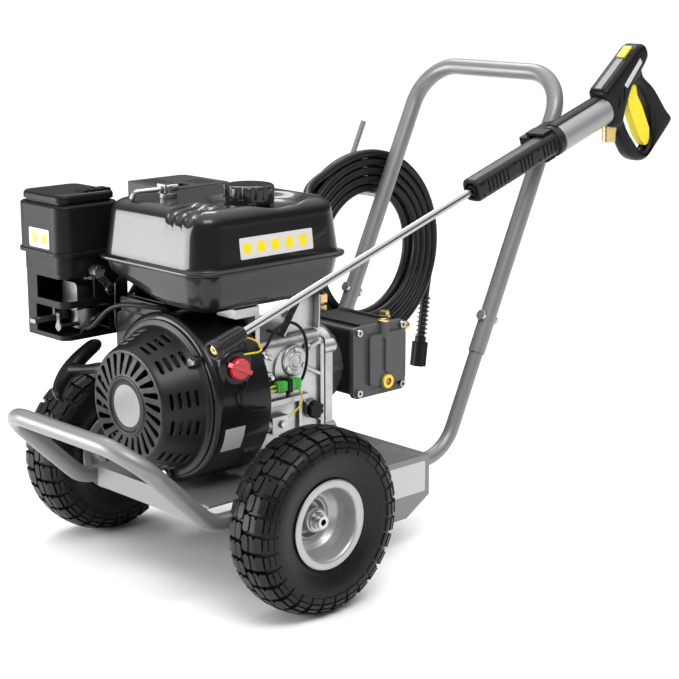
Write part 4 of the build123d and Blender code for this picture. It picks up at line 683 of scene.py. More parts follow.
spring_points = []
for number in range(SPRING_CURLS * CURL_POINTS + 1):
    share = number / (SPRING_CURLS * CURL_POINTS)
    middle, heading = line_from_end(hose_line, mm(SPRING_LENGTH * (1 - share)))
    side = heading.cross(Vector((0, 1, 0))).normalized()
    other = heading.cross(side)
    turn = 2 * pi * SPRING_CURLS * share
    spring_points.append(middle + mm(SPRING_R) * (cos(turn) * side + sin(turn) * other))

spring_curve = cord_curve("bend_spring", spring_points, SPRING_WIRE, smoothness=4, roundness=3)
spring = add_piece("bend_spring", spring_curve, "chassis", "spring_black", "hose_bend_spring")
wear(spring, gloss_black)

tuple(at(*PUMP_TAIL[0]))
mm(HOSE_DIA)
print("spring wire curls:", SPRING_CURLS)

# %% [markdown]
# ## Fuel line and engine wires
# Short lines run over the engine: the fuel line from the tank to the carburettor, a black stop cable
# that arches over the crankcase, and thin yellow wires. Each is a cord on a few points. The fuel line
# and the stop cable follow their CAD tubes and go on a little, so that both of their ends run into a
# part.

# %% Fuel line, cables and wires
FUEL_POINTS = [(-24, 102, 422), (-30, 110.2, 402.9), (-33, 123, 385), (-48, 143, 368), (-63, 163, 354)]
STOP_CABLE = [
    (19, -106, 334), (26, -112, 338), (34, -120, 364), (58, -124, 378), (84, -124, 364), (96, -122, 338),
    (98, -119, 310), (98, -113, 292), (95, -110, 282), (88, -109.5, 280.5),
]
SENSOR_WIRE = [(92, -107, 272), (97, -110, 262), (96, -111, 250), (88, -109, 240), (73.2, -106, 232)]


def fixed_cord(name, points, diameter, slot, finish, replaced=()):
    """A short cord that leaves the machine and goes back into it."""
    curve = cord_curve(name, [at(*point) for point in points], diameter)
    piece = add_piece(name, curve, "chassis", slot, *replaced)
    wear(piece, finish)
    length = round(line_length(route_line(piece)), 3)
    tuple(at(*points[0]))
    mm(diameter)
    print(name, length, "m")
    return piece


fixed_cord("fuel_line", FUEL_POINTS, 8.0, "rubber_black", hose_rubber, ["fuel_hose"])
fixed_cord("stop_cable", STOP_CABLE, 4.4, "wire", moulded_black, ["wiring"])
fixed_cord("sensor_wire", SENSOR_WIRE, 2.6, "wire", wire_yellow)

# %% [markdown]
# ## Forms drawn as outlines
# Pressed and moulded pieces share two needs: an outline with its corners rounded off, and a skin laid
# over rows of points. Each corner becomes a short curve that starts and ends at a chosen distance from
# it. The skin joins row to row, closed round each row. It can close from the last row to the first, as
# a ring does, or be capped at both ends.

# %% Rounded outlines and skins over rows of points
MOST_OF_SIDE = 0.48
LEAST_EDGE = 1e-7


def facing(angle):
    """The unit direction at an angle in a flat drawing."""
    return Vector((cos(angle), sin(angle)))


def arc(middle, radius, start, sweep, steps):
    """Points on a flat arc that starts at an angle and sweeps over another, both in radians."""
    return [middle + radius * facing(start + sweep * step / steps) for step in range(steps + 1)]


def slot_outline(half, radius):
    """A flat slot with round ends; half is the way from its middle to the middle of an end."""
    cap = arc(Vector((half, 0)), radius, -pi / 2, pi, 6)
    return cap + [-spot for spot in cap]


def softened(points, reach, steps=5):
    """A closed outline whose corners are curves that start and end at most reach away from them."""
    soft = []
    for before, corner, after in zip(points[-1:] + points[:-1], points, points[1:] + points[:1]):
        corner = Vector(corner)
        arms = [Vector(before) - corner, Vector(after) - corner]
        start, end = [corner + arm * min(reach / arm.length, MOST_OF_SIDE) for arm in arms]
        for step in range(steps + 1):
            share = step / steps
            soft.append(start * (1 - share) ** 2 + corner * 2 * share * (1 - share) + end * share**2)
    return soft


def skin(rows, ring=False):
    """Points and faces of a skin over rows of equal length, each row closed on itself."""
    count = len(rows[0])
    points = [point for row in rows for point in row]
    faces = []
    for number in range(len(rows) if ring else len(rows) - 1):
        here = number * count
        there = (number + 1) % len(rows) * count
        for spot in range(count):
            other = (spot + 1) % count
            faces.append((here + spot, here + other, there + other, there + spot))
    return points, faces


def capped(rows):
    """A skin over rows with its first and its last row filled."""
    points, faces = skin(rows)
    count = len(rows[0])
    return points, faces + [tuple(range(count)), tuple(range(len(points) - count, len(points)))]


def mesh_of(name, points, faces, smooth=True):
    """A mesh of points in metres, without edges of no length and with its faces turned outwards."""
    mesh = bpy.data.meshes.new(name)
    mesh.from_pydata(points, [], faces)
    form = bmesh.new()
    form.from_mesh(mesh)
    bmesh.ops.dissolve_degenerate(form, dist=LEAST_EDGE, edges=form.edges[:])
    bmesh.ops.recalc_face_normals(form, faces=form.faces)
    form.to_mesh(mesh)
    form.free()
    if smooth:
        mesh.shade_smooth()
    else:
        mesh.shade_flat()
    return mesh


def break_edges(piece, width, segments=2, angle=35):
    """A bevel on a piece's sharp edges, which stays a modifier."""
    bevel = piece.modifiers.new("broken edges", "BEVEL")
    bevel.width = mm(width)
    bevel.segments = segments
    bevel.limit_method = "ANGLE"
    bevel.angle_limit = radians(angle)
    bevel.harden_normals = True


print("outlines, skins and meshes ready")

# %% [markdown]
# ## Tyres
# A small pneumatic tyre with a block tread. The carcass is a smooth section turned about the axle.
# Every block is a patch of that section, lifted along its normal: a few stations give the distance from
# the crown and how far the block reaches to either side, in degrees. Two staggered rows of long
# hexagons run along the crown, a large notched block sits on each shoulder, and three low bands step
# down the sidewall. One pitch is drawn and then turned round the wheel. Its blocks on the other side
# are set half a pitch on, so that the tread runs quietly.

# %% The carcass section and the blocks of one pitch
WHEEL_Y = 240.0
AXLE_Z = 130.0
PITCHES = 30
TURN_STEPS = 120
SIDES = (("left", -1), ("right", 1))
WALL = [
    (123.2, 0), (122.9, 10), (121.4, 20), (117.6, 30), (110.5, 37), (101, 40), (91, 39.4), (81, 36.6),
    (72.5, 33), (66, 30.6), (63.4, 29.4), (58, 29.2), (53, 29.2),
]
BLOCK_ROOT = 1.2
BLOCK_TAPER = 0.95
CROWN_BLOCK = (6.4, [(1.2, -3.9, 3.9), (6.4, -5.5, 5.5), (11.6, -4.1, 4.1)])
SHOULDER_BLOCK = (
    6.0,
    [
        (13.4, -5.2, 5.2), (18.4, -5.1, 5.1), (19.4, -3.3, 5.1), (21.6, -3.3, 5.0), (22.6, -5.0, 5.0),
        (30.4, -4.6, 4.6),
    ],
)
SIDE_BLOCKS = [
    (4.4, [(32.0, -4.1, 4.1), (34.6, -4.2, 4.2), (37.2, -4.3, 4.3)]),
    (3.2, [(38.4, -4.4, 4.4), (41.2, -4.6, 4.6), (44.0, -4.8, 4.8)]),
    (2.1, [(45.2, -4.9, 4.9), (49.0, -5.1, 5.1), (52.6, -5.2, 5.2)]),
]


def curve_through(points, steps):
    """A soft open curve through points, by Catmull and Rom's rule."""
    chain = [Vector(p) for p in [points[0]] + list(points) + [points[-1]]]
    line = []
    for a, b, c, d in zip(chain, chain[1:], chain[2:], chain[3:]):
        square = 2 * a - 5 * b + 4 * c - d
        cube = 3 * b - a - 3 * c + d
        for step in range(steps):
            t = step / steps
            line.append(0.5 * (2 * b + (c - a) * t + square * t**2 + cube * t**3))
    return line + [chain[-1]]


wall_line = curve_through(WALL, 8)


def on_wall(distance):
    """The carcass's radius, offset and outward normal at a distance along its section from the crown."""
    left = distance
    for here, after in zip(wall_line, wall_line[1:]):
        run = (after - here).length
        if run > 0 and left <= run:
            heading = (after - here) / run
            return here + heading * left, Vector((heading.y, -heading.x))
        left -= run
    return wall_line[-1], Vector((0, 1))


def wheel_point(side, turn, radius, offset):
    """A point of a wheel: side is -1 near and 1 far, turn in radians, offset outwards from its middle."""
    return at(radius * cos(turn), side * (WHEEL_Y + offset), AXLE_Z + radius * sin(turn))


def tread_block(side, hand, turn, lift, stations):
    """Points and faces of one block; hand is 1 on the outer half of the tread and -1 on the inner half."""
    rows = []
    for distance, start, end in stations:
        spot, out = on_wall(distance)
        ring = []
        roof = ((start * BLOCK_TAPER, lift), (end * BLOCK_TAPER, lift))
        for edge, rise in ((start, -BLOCK_ROOT), *roof, (end, -BLOCK_ROOT)):
            place = spot + out * rise
            ring.append(wheel_point(side, turn + radians(edge), place.x, hand * place.y))
        rows.append(ring)
    return capped(rows)


def joined(forms):
    """Several forms as one list of points and faces."""
    points = []
    faces = []
    for more, sides in forms:
        faces += [tuple(len(points) + corner for corner in face) for face in sides]
        points += more
    return points, faces


def on_axle(side, section):
    """Points and faces of a closed section turned about the axle."""
    rows = []
    for step in range(TURN_STEPS):
        turn = 2 * pi * step / TURN_STEPS
        rows.append([wheel_point(side, turn, spot.x, spot.y) for spot in section])
    return skin(rows, ring=True)


def tyre_form(side):
    """Points and faces of a whole tyre: the turned carcass and its blocks."""
    forms = [on_axle(side, wall_line + [Vector((spot.x, -spot.y)) for spot in reversed(wall_line[1:])])]
    pitch = 2 * pi / PITCHES
    for number in range(PITCHES):
        for hand, shift in ((1, 0.0), (-1, 0.5)):
            for lift, stations in [CROWN_BLOCK, SHOULDER_BLOCK] + SIDE_BLOCKS:
                forms.append(tread_block(side, hand, (number + shift) * pitch, lift, stations))
    return joined(forms)


for name, side in SIDES:
    tyre_mesh = mesh_of(f"block_tyre_{name}", *tyre_form(side))
    tyre = add_piece(f"block_tyre_{name}", tyre_mesh, f"wheel_{name}", "tyre_black", f"tyre_{name}")
    break_edges(tyre, 0.55)
    wear(tyre, tyre_rubber)
    print(tyre.name, len(tyre.data.polygons), "faces before its edges are broken")

# %% [markdown]
# ## Rims
# A pressed steel rim is also a turned section. Its lip is rolled over, the dish falls away smoothly to
# a raised ring round the hub, and the hub stands in a dark moat as a plain tube. Rounding every corner
# of a plain section gives the pressing its soft look.

# %% Turned rims
RIM_SECTION = [
    (62.4, 30.2), (62.4, 33.0), (52.5, 33.0), (49.4, 30.0), (48.0, 10.0), (44.0, -1.0), (36.0, -8.5),
    (31.5, -9.0), (30.0, -7.0), (27.0, -7.0), (25.4, -10.0), (25.0, -17.0), (17.6, -17.0), (17.5, 5.0),
    (9.4, 5.0), (9.4, -33.0), (17.5, -33.0), (17.5, -21.0), (27.0, -21.0), (43.0, -5.0), (49.0, -12.0),
    (49.0, -33.0), (62.4, -33.0), (62.4, -30.2), (52.2, -30.2), (52.2, 30.2),
]
rim_outline = softened(RIM_SECTION, 3.0)
for name, side in SIDES:
    rim_mesh = mesh_of(f"pressed_rim_{name}", *on_axle(side, rim_outline))
    rim = add_piece(f"pressed_rim_{name}", rim_mesh, f"wheel_{name}", "rim_grey", f"rim_{name}")
    wear(rim, rim_paint)
print("rim section points:", len(rim_outline))

# %% [markdown]
# ## Turning, joining and cutting
# The starter housing and the small fittings are turned forms with holes. A section of radius and
# distance along an axis is carried round that axis, and a plain outline is drawn out into a bar. A
# cutter is subtracted with a Boolean modifier, which is applied at once so that the piece keeps a plain
# mesh. What stands in a cut is added as a second mesh afterwards.

# %% Turned forms, bars and cut-outs
def turned(section, origin, axis, steps=96, ripple=None):
    """A closed section of (radius, distance) carried round an axis; ripple may vary a radius by angle."""
    axis = Vector(axis).normalized()
    side = axis.cross(Vector((0, 0, 1)) if abs(axis.z) < 0.9 else Vector((0, 1, 0))).normalized()
    other = axis.cross(side)
    rows = []
    for step in range(steps):
        turn = 2 * pi * step / steps
        out = cos(turn) * side + sin(turn) * other
        row = []
        for radius, distance in section:
            reach = ripple(radius, distance, turn) if ripple else radius
            row.append(at(*(Vector(origin) + axis * distance + out * reach)))
        rows.append(row)
    return skin(rows, ring=True)


def bar(outline, direction):
    """A closed outline of machine points drawn out along a direction in millimetres."""
    near = [at(*point) for point in outline]
    far = [at(*(Vector(point) + Vector(direction))) for point in outline]
    return capped([near, far])


def rod(radius, start, end):
    """The section of a plain round bar from one distance to another."""
    return [(0, start), (radius, start), (radius, end), (0, end)]


def cut_away(mesh, cutters):
    """The mesh less the cutters' form, as a new mesh under the same name."""
    block = bpy.data.objects.new("block", mesh)
    tool = bpy.data.objects.new("tool", mesh_of("tool", *joined(cutters)))
    for part in (block, tool):
        scene.collection.objects.link(part)
    boolean = block.modifiers.new("cut", "BOOLEAN")
    boolean.object = tool
    boolean.operation = "DIFFERENCE"
    boolean.solver = "EXACT"
    boolean.use_self = True
    result = bpy.data.meshes.new_from_object(block.evaluated_get(bpy.context.evaluated_depsgraph_get()))
    name = mesh.name
    for part in (block, tool):
        leftover = part.data
        bpy.data.objects.remove(part)
        bpy.data.meshes.remove(leftover)
    result.name = name
    return result


def smooth_by_angle(mesh, angle):
    """Smooth shading that stops at edges sharper than an angle in degrees."""
    mesh.shade_smooth()
    form = bmesh.new()
    form.from_mesh(mesh)
    for edge in form.edges:
        if len(edge.link_faces) == 2 and edge.calc_face_angle() > radians(angle):
            edge.smooth = False
    form.to_mesh(mesh)
    form.free()


def add_form(mesh, form, weld=None):
    """Adds a form to a mesh; points nearer than weld metres become one, where it is given."""
    extra = mesh_of("extra", *form)
    whole = bmesh.new()
    whole.from_mesh(mesh)
    whole.from_mesh(extra)
    if weld:
        bmesh.ops.remove_doubles(whole, verts=whole.verts, dist=weld)
    whole.to_mesh(mesh)
    whole.free()
    bpy.data.meshes.remove(extra)


def smooth_piece(mesh, body, slot, finish, angle, *replaced):
    """A piece under its mesh's name, smooth up to an angle in degrees, with one finish."""
    smooth_by_angle(mesh, angle)
    piece = add_piece(mesh.name, mesh, body, slot, *replaced)
    wear(piece, finish)
    print(piece.name, len(mesh.polygons), "faces")


print("turning and cutting ready")

# %% [markdown]
# ## Starter housing
# The recoil starter sits in a moulded bell. Its face is a shallow dome with a raised ring round the
# bare middle, pierced by leaning teardrops that draw cooling air in. Two rings of rounded windows
# pierce the cone. Teardrop and window are each drawn once, then turned round the crankshaft.

# %% The bell and its openings
CRANK_Y = -8.0
CRANK_Z = 268.0
FACE_X = -136.0
CRANK_FACE = (FACE_X, CRANK_Y, CRANK_Z)
BELL_STEPS = 144
TEARDROPS = 24
DROP_SMALL = Vector((46.5, 0.0))
DROP_SMALL_R = 2.1
DROP_LARGE = Vector((69.0, 10.0))
DROP_LARGE_R = 4.7
DROP_AHEAD = 8
DROP_CUT = 14
WINDOW_GROUPS = 6
WINDOW_LEAN = 12.5
WINDOW_ROWS = (15, 26, 37, 48)
WINDOW_HALF = 8.5
WINDOW_END_R = 3.1
WINDOW_FROM = 66
WINDOW_CUT = 60
BELL_SECTION = [
    (0.0, 0.2), (34.0, 0.2), (36.0, -0.4), (37.2, -2.4), (40.4, -2.6), (42.6, -0.8), (56.0, 0.0),
    (72.0, 1.4), (75.5, 1.0), (79.0, 2.2), (82.0, 7.0), (101.5, 57.0), (103.0, 59.6), (107.0, 60.2),
    (111.6, 60.4), (112.0, 63.8), (100.5, 63.8), (98.6, 59.0), (79.0, 9.0), (75.0, 4.8), (40.0, 4.0),
    (9.5, 3.6), (9.0, 39.8), (0.0, 39.8),
]


def teardrop(turn):
    """One leaning teardrop through the face: a small circle near the hub, a large one outside."""
    run = DROP_LARGE - DROP_SMALL
    heading = atan2(run.y, run.x)
    open_half = pi / 2 + (DROP_LARGE_R - DROP_SMALL_R) / run.length
    closed_half = pi - open_half
    outline = arc(DROP_LARGE, DROP_LARGE_R, heading - open_half, 2 * open_half, 10)
    outline += arc(DROP_SMALL, DROP_SMALL_R, heading + pi - closed_half, 2 * closed_half, 6)
    places = []
    for spot in outline:
        y = CRANK_Y + spot.x * cos(turn) - spot.y * sin(turn)
        z = CRANK_Z + spot.x * sin(turn) + spot.y * cos(turn)
        places.append((FACE_X - DROP_AHEAD, y, z))
    return bar(places, (DROP_CUT, 0, 0))


def window(turn, distance):
    """A rounded window through the cone, cut outwards from inside it."""
    out = Vector((0, cos(turn), sin(turn)))
    around = Vector((0, -sin(turn), cos(turn)))
    middle = Vector((FACE_X + distance, CRANK_Y, CRANK_Z)) + out * WINDOW_FROM
    slot = slot_outline(WINDOW_HALF, WINDOW_END_R)
    return bar([middle + around * spot.x + Vector((spot.y, 0, 0)) for spot in slot], out * WINDOW_CUT)


openings = [teardrop(2 * pi * number / TEARDROPS) for number in range(TEARDROPS)]
for group in range(WINDOW_GROUPS):
    for side in (-1, 1):
        for distance in WINDOW_ROWS:
            openings.append(window(radians(360 / WINDOW_GROUPS * group + WINDOW_LEAN * side), distance))
bell_form = turned(softened(BELL_SECTION, 2.2, 3), CRANK_FACE, (1, 0, 0), BELL_STEPS)
bell = cut_away(mesh_of("starter_bell", *bell_form), openings)
print("openings in the bell:", len(openings))

# %% [markdown]
# The bell also carries three screw bosses on its flange and the ferrule that the starter rope runs
# through.

# %% Bosses, rope ferrule and the finished bell
ROPE_FALL = radians(12.0)
ROPE_DIR = Vector((0, cos(ROPE_FALL), -sin(ROPE_FALL)))
REEL_R = 50
ROPE_START = Vector((-108.0, CRANK_Y + REEL_R * sin(ROPE_FALL), CRANK_Z + REEL_R * cos(ROPE_FALL)))
BOSS_X = -72
BOSS_CIRCLE = 105.5
BOSS_ANGLES = (20, 140, 260)
BOSS_SECTION = [(3.5, -12), (6.6, -12), (8, -10.5), (8, 0), (3.5, 0)]
FERRULE_SECTION = [(3.2, 64), (9, 64), (9, 93), (7.4, 96), (3.2, 96)]

fittings = [turned(softened(FERRULE_SECTION, 1.5, 3), ROPE_START, ROPE_DIR, 40)]
for angle in BOSS_ANGLES:
    spot = Vector((CRANK_Y, CRANK_Z)) + BOSS_CIRCLE * facing(radians(angle))
    fittings.append(turned(softened(BOSS_SECTION, 1.0, 3), (BOSS_X, *spot), (1, 0, 0), 32))
add_form(bell, joined(fittings))
smooth_piece(bell, "chassis", "engine_black", starter_grey, 32, "recoil_housing")

# %% [markdown]
# ## Nozzle and its guard
# The end of the lance is a fluted rubber guard round a brass nozzle that almost fills its mouth. The
# guard is turned with a radius that ripples with the angle, but only along its body: the lip at the
# mouth stays round.

# %% Guard and nozzle
LANCE_FRONT = Vector((-132.0, -190.0, 376.0))
LANCE_DIR = Vector((cos(radians(LANCE_TILT)), 0, sin(radians(LANCE_TILT))))
FLUTES_ROUND = 12
FLUTE_DEEP = 1.5
FLUTE_LEAST_R = 11.5
FLUTE_FROM = 11
GUARD_SECTION = [
    (8.2, 24), (8.2, 3.5), (9.6, 0.2), (12.4, 0), (13.5, 1.4), (13.5, 8.6), (12.6, 10.2), (12.9, 12),
    (12.7, 30), (12.2, 46), (11.0, 53), (8.5, 55.8), (6.1, 56), (6.1, 24),
]
NOZZLE_SECTION = [(1.4, 12), (1.4, 4.5), (2.6, 2.6), (5.4, 2.4), (7.0, 3.4), (7.9, 5), (7.9, 24), (1.4, 24)]


def fluted(radius, distance, turn):
    """The guard's radius: hollows along the body, none at the lip or at its rear end."""
    if radius < FLUTE_LEAST_R or distance < FLUTE_FROM:
        return radius
    return radius - FLUTE_DEEP * max(0, cos(FLUTES_ROUND * turn)) ** 0.6


guard_form = turned(softened(GUARD_SECTION, 1.2, 3), LANCE_FRONT, LANCE_DIR, 192, fluted)
tip_form = turned(softened(NOZZLE_SECTION, 0.5, 2), LANCE_FRONT, LANCE_DIR, 48)
smooth_piece(mesh_of("fluted_guard", *guard_form), "lance", "plastic_black", guard_grey, 45, "nozzle_guard")
smooth_piece(mesh_of("brass_tip", *tip_form), "lance", "brass", brass, 45, "nozzle")

# %% [markdown]
# ## Starter handle
# The pull handle is one soft moulding: a bowed bar for two fingers on each side, which swells towards
# its middle and runs out into a cone round the rope. The bar is a row of ovals along a bow, each one
# smaller near the ends; the cone and the rope are turned.

# %% Bowed bar, cone and rope
HANDLE_REACH = 170.0
HANDLE_HALF = 56.0
HANDLE_BOW = 24.0
HANDLE_DIR = Vector((0.77, 0.11, 0.63)).normalized()
HANDLE_STEPS = 48
HANDLE_CORNERS = 28
HANDLE_ROUND_FROM = 0.8
HANDLE_THICK = (8.5, 4.0)
HANDLE_WIDE = (10.5, 1.8)
CONE_SECTION = [
    (2.5, 84), (5.2, 84), (6.4, 87), (7.0, 112), (7.4, 132), (8.6, 148), (11.0, 160), (2.5, 166),
]
ROPE_R = 2.5
ROPE_SHOWN = 100

handle_across = ROPE_DIR.cross(HANDLE_DIR).normalized()
handle_out = HANDLE_DIR.cross(handle_across).normalized()
rows = []
for step in range(HANDLE_STEPS + 1):
    share = -cos(pi * step / HANDLE_STEPS)
    swell = 1 - share**2
    past = max(0.0, (abs(share) - HANDLE_ROUND_FROM) / (1 - HANDLE_ROUND_FROM))
    end = sqrt(max(0.0, 1 - past**2))
    reach = HANDLE_REACH - HANDLE_BOW * share**2
    middle = ROPE_START + ROPE_DIR * reach + HANDLE_DIR * HANDLE_HALF * share
    thick = (HANDLE_THICK[0] + HANDLE_THICK[1] * swell) * end
    wide = (HANDLE_WIDE[0] + HANDLE_WIDE[1] * swell) * end
    row = []
    for corner in range(HANDLE_CORNERS):
        turn = 2 * pi * corner / HANDLE_CORNERS
        row.append(at(*(middle + handle_out * thick * cos(turn) + handle_across * wide * sin(turn))))
    rows.append(row)
handle_form = joined([
    skin(rows), turned(softened(CONE_SECTION, 2, 4), ROPE_START, ROPE_DIR, 40),
    turned(rod(ROPE_R, 0, ROPE_SHOWN), ROPE_START, ROPE_DIR, 24),
])
smooth_piece(
    mesh_of("starter_handle", *handle_form), "starter", "plastic_black", moulded_black, 50, "pull_grip",
)

# %% [markdown]
# ## Fuel tank
# Two pressed halves are seamed together at a flat flange. A tank like this is a stack of rounded
# rectangles: going up the stack they step in and out by the section of the pressing, and the last ones
# shrink over the top to its middle. What the press adds is a change of height: a shallow dish round the
# filler, three flutes over the front edge, and a floor that lifts on the far side to clear the
# carburettor.

# %% A stack of rounded rectangles
TANK_X = 51.0
TANK_Y = 8.0
TANK_LENGTH = 288.0
TANK_WIDTH = 256.0
TANK_SEAM_Z = 456.0
TANK_TOP_Z = 538.0
TANK_FLOOR_Z = 397.0
CAP_X = 70.0
CAP_Y = -30.0
SHOULDER_R = 21.0
SHOULDER_INSET = 15.5
WALL_INSET = 8.6
FLANGE_RISE = 5
TANK_CORNER = 42
CORNER_STEPS = 14
DISH_DEPTH = 8.4
DISH_MIDDLE = (CAP_X + 6, CAP_Y - 8)
DISH_HALF = (82, 66)
FLUTES = [-74.0, -55.0, -36.0]
FLUTE_DEPTH = 7.5
FLUTE_HALF = 9.2
FLUTE_LEAN = 0.22
FLOOR_LIFT = 26
TANK_FRONT = TANK_X - TANK_LENGTH / 2


def tank_outline(inset):
    """One rounded rectangle of the stack, drawn in from the flange, in millimetres across the tank."""
    half_long = TANK_LENGTH / 2 - inset
    half_wide = TANK_WIDTH / 2 - inset
    radius = min(max(TANK_CORNER - 0.5 * inset, 1.5), 0.9 * half_wide)
    arcs = []
    for number, (along, across) in enumerate(((1, 1), (-1, 1), (-1, -1), (1, -1))):
        middle = Vector((along * (half_long - radius), across * (half_wide - radius)))
        arcs.append(arc(middle, radius, number * pi / 2, pi / 2, CORNER_STEPS))
    line = []
    for here, after, run in zip(arcs, arcs[1:] + arcs[:1], (60, 96, 60, 96)):
        line += here[:-1]
        line += [here[-1].lerp(after[0], step / run) for step in range(run)]
    return line


def fade(value, low, high):
    """0 below low, 1 above high, smooth between them; the other way round where low is the larger."""
    share = min(max((value - low) / (high - low), 0), 1)
    return share * share * (3 - 2 * share)


def pressed(x, y, z):
    """A point of the stack moved down or up by what the press adds, in millimetres of the machine."""
    if z > TANK_SEAM_Z + 30:
        from_cap = hypot((x - DISH_MIDDLE[0]) / DISH_HALF[0], (y - DISH_MIDDLE[1]) / DISH_HALF[1])
        z -= DISH_DEPTH * fade(from_cap, 1.0, 0.72) * fade(z, TANK_TOP_Z - 12, TANK_TOP_Z - 2)
        back = x - TANK_FRONT
        for flute in FLUTES:
            across = abs(y - flute - FLUTE_LEAN * (back - 20)) / FLUTE_HALF
            if across < 1:
                depth = FLUTE_DEPTH * sqrt(1 - across**2) * fade(back, 92, 50)
                z -= depth * fade(z, TANK_TOP_Z - 36, TANK_TOP_Z - 6)
    if z < TANK_SEAM_Z - 12:
        low = fade(z, TANK_SEAM_Z - 12, TANK_FLOOR_Z)
        z += FLOOR_LIFT * low * fade(y, -30, 110) * fade(x, 60, -60)
    return at(x, y, z)


lower_wall = [(128 * (1 - step / 9), TANK_FLOOR_Z) for step in range(7)]
lower_wall += [
    (33, TANK_FLOOR_Z + 0.4), (26, TANK_FLOOR_Z + 3), (21, TANK_FLOOR_Z + 8), (18, TANK_FLOOR_Z + 15),
]
lower_wall += [(13, TANK_SEAM_Z - 24), (9, TANK_SEAM_Z - 6), (7.4, TANK_SEAM_Z - 3)]
flange = [
    (1.0, TANK_SEAM_Z - 2.6), (0.2, TANK_SEAM_Z - 1.6), (0.2, TANK_SEAM_Z + 1.4),
    (1.0, TANK_SEAM_Z + 2.4),
]
upper_wall = [(7.4, TANK_SEAM_Z + 2.8), (8.4, TANK_SEAM_Z + 4.4)]
rise = TANK_TOP_Z - SHOULDER_R - TANK_SEAM_Z - FLANGE_RISE
for step in range(1, 10):
    share = step / 10
    inset = WALL_INSET + share * (SHOULDER_INSET - WALL_INSET)
    upper_wall.append((inset, TANK_SEAM_Z + FLANGE_RISE + share * rise))
for step in range(10):
    bend = (1 - cos(radians(10 * step)), 1 - sin(radians(10 * step)))
    upper_wall.append((SHOULDER_INSET + SHOULDER_R * bend[0], TANK_TOP_Z - SHOULDER_R * bend[1]))
top = [(SHOULDER_INSET + SHOULDER_R + 3 * step, TANK_TOP_Z) for step in range(1, 31)]
rows = []
for inset, z in lower_wall + flange + upper_wall + top:
    rows.append([pressed(TANK_X + spot.x, TANK_Y + spot.y, z) for spot in tank_outline(min(inset, 127))])
tank_shell = capped(rows)
print("tank rows:", len(rows))

# %% [markdown]
# The filler neck stands in the dish under the cap. It is a short turned tube, joined to the tank as one
# piece.

# %% The filler neck and the finished tank
NECK_SECTION = [(25, 528), (30, 528), (30, 543.4), (25, 543.4)]
neck_form = turned(NECK_SECTION, (CAP_X, CAP_Y, 0), (0, 0, 1), 48)
tank_mesh = mesh_of("pressed_tank", *joined([tank_shell, neck_form]))
tank = add_piece("pressed_tank", tank_mesh, "chassis", "engine_black", "fuel_tank")
wear(tank, tank_black)
print("tank faces:", len(tank_mesh.polygons))

# %% [markdown]
# ## Spray gun
# The gun is two moulded half shells with soft edges: a wide head that carries the sleeve, and a slim
# loop for the hand. Each is a flat filled curve, drawn in the plane of the lance and given thickness
# with a round bevel; the loop has a hole in it. Pockets for the turning sleeve, the trigger, the safety
# catch and the brass inlet are then cut out, so that these CAD pieces have room in it.

# %% Moulded plates in the plane of the lance
LANCE_Y = -190.0
HEAD_HALF = 19.0
HEAD_EDGE = 8.0
LOOP_HALF = 13.5
LOOP_EDGE = 8.5
GUN_OUTLINE = [
    (652, 640), (659, 622), (664, 605), (690, 605), (697, 586), (718, 556), (740, 546), (764, 547),
    (825, 603), (827, 612), (811, 624), (797, 640), (774, 664), (746, 681), (741, 697), (752, 714),
    (742, 732), (726, 732), (640, 662),
]
GUN_HEAD = [
    (652, 640), (659, 622), (664, 605), (690, 605), (697, 632), (712, 668), (741, 697), (752, 714),
    (742, 732), (726, 732), (640, 662),
]
GUN_OPENING = [
    (718, 668), (737, 668), (760, 643), (773, 624), (776, 590), (764, 562), (746, 562), (711, 598),
    (695, 626), (704, 652),
]
TRIGGER_SLOT = [
    (708, 684), (734, 684), (742, 655), (776, 606), (788, 598), (789, 574), (776, 562), (754, 564),
    (714, 640),
]
SPINE_DIR = Vector((0.7755, 0, 0.6313))
SPINE_UP = Vector((-0.6313, 0, 0.7755))
SPINE_START = Vector((640, LANCE_Y, 662))
BUTTON_SPOT = Vector((710, LANCE_Y, 718.98))


def turning_sign(outline):
    """Positive where an outline runs anticlockwise."""
    return sum(a[0] * b[1] - b[0] * a[1] for a, b in zip(outline, outline[1:] + outline[:1]))


def moulded_plate(name, outline, holes, half, edge):
    """Points and faces of a filled outline with round edges, upright in the plane of the lance."""
    curve = bpy.data.curves.new(name, "CURVE")
    curve.dimensions = "2D"
    curve.fill_mode = "BOTH"
    curve.extrude = half - edge
    curve.bevel_depth = edge
    curve.bevel_resolution = 4
    curve.offset = -edge
    for number, loop in enumerate([outline] + holes):
        anticlockwise = turning_sign(loop) > 0
        if anticlockwise == (number > 0):
            loop = loop[::-1]
        spline = curve.splines.new("POLY")
        spline.points.add(len(loop) - 1)
        for knot, (x, z) in zip(spline.points, loop):
            knot.co = (x, z, 0, 1)
        spline.use_cyclic_u = True
    holder = bpy.data.objects.new(name, curve)
    scene.collection.objects.link(holder)
    flat = bpy.data.meshes.new_from_object(holder.evaluated_get(bpy.context.evaluated_depsgraph_get()))
    points = [at(v.co.x, LANCE_Y - v.co.z, v.co.y) for v in flat.vertices]
    faces = [tuple(face.vertices) for face in flat.polygons]
    bpy.data.objects.remove(holder)
    bpy.data.curves.remove(curve)
    bpy.data.meshes.remove(flat)
    return points, faces


def upright(outline, half):
    """A bar through the plane of the lance, from an outline of (x, z) points."""
    return bar([(x, LANCE_Y - half, z) for x, z in outline], (0, 2 * half, 0))


def spine_bar(start, end, width, low, high):
    """A block along the gun's back: from start to end along it, centred across, between two heights."""
    corners = []
    for along_back, rise in ((start, low), (end, low), (end, high), (start, high)):
        corners.append(SPINE_START + SPINE_DIR * along_back + SPINE_UP * rise - Vector((0, width / 2, 0)))
    return bar(corners, (0, width, 0))


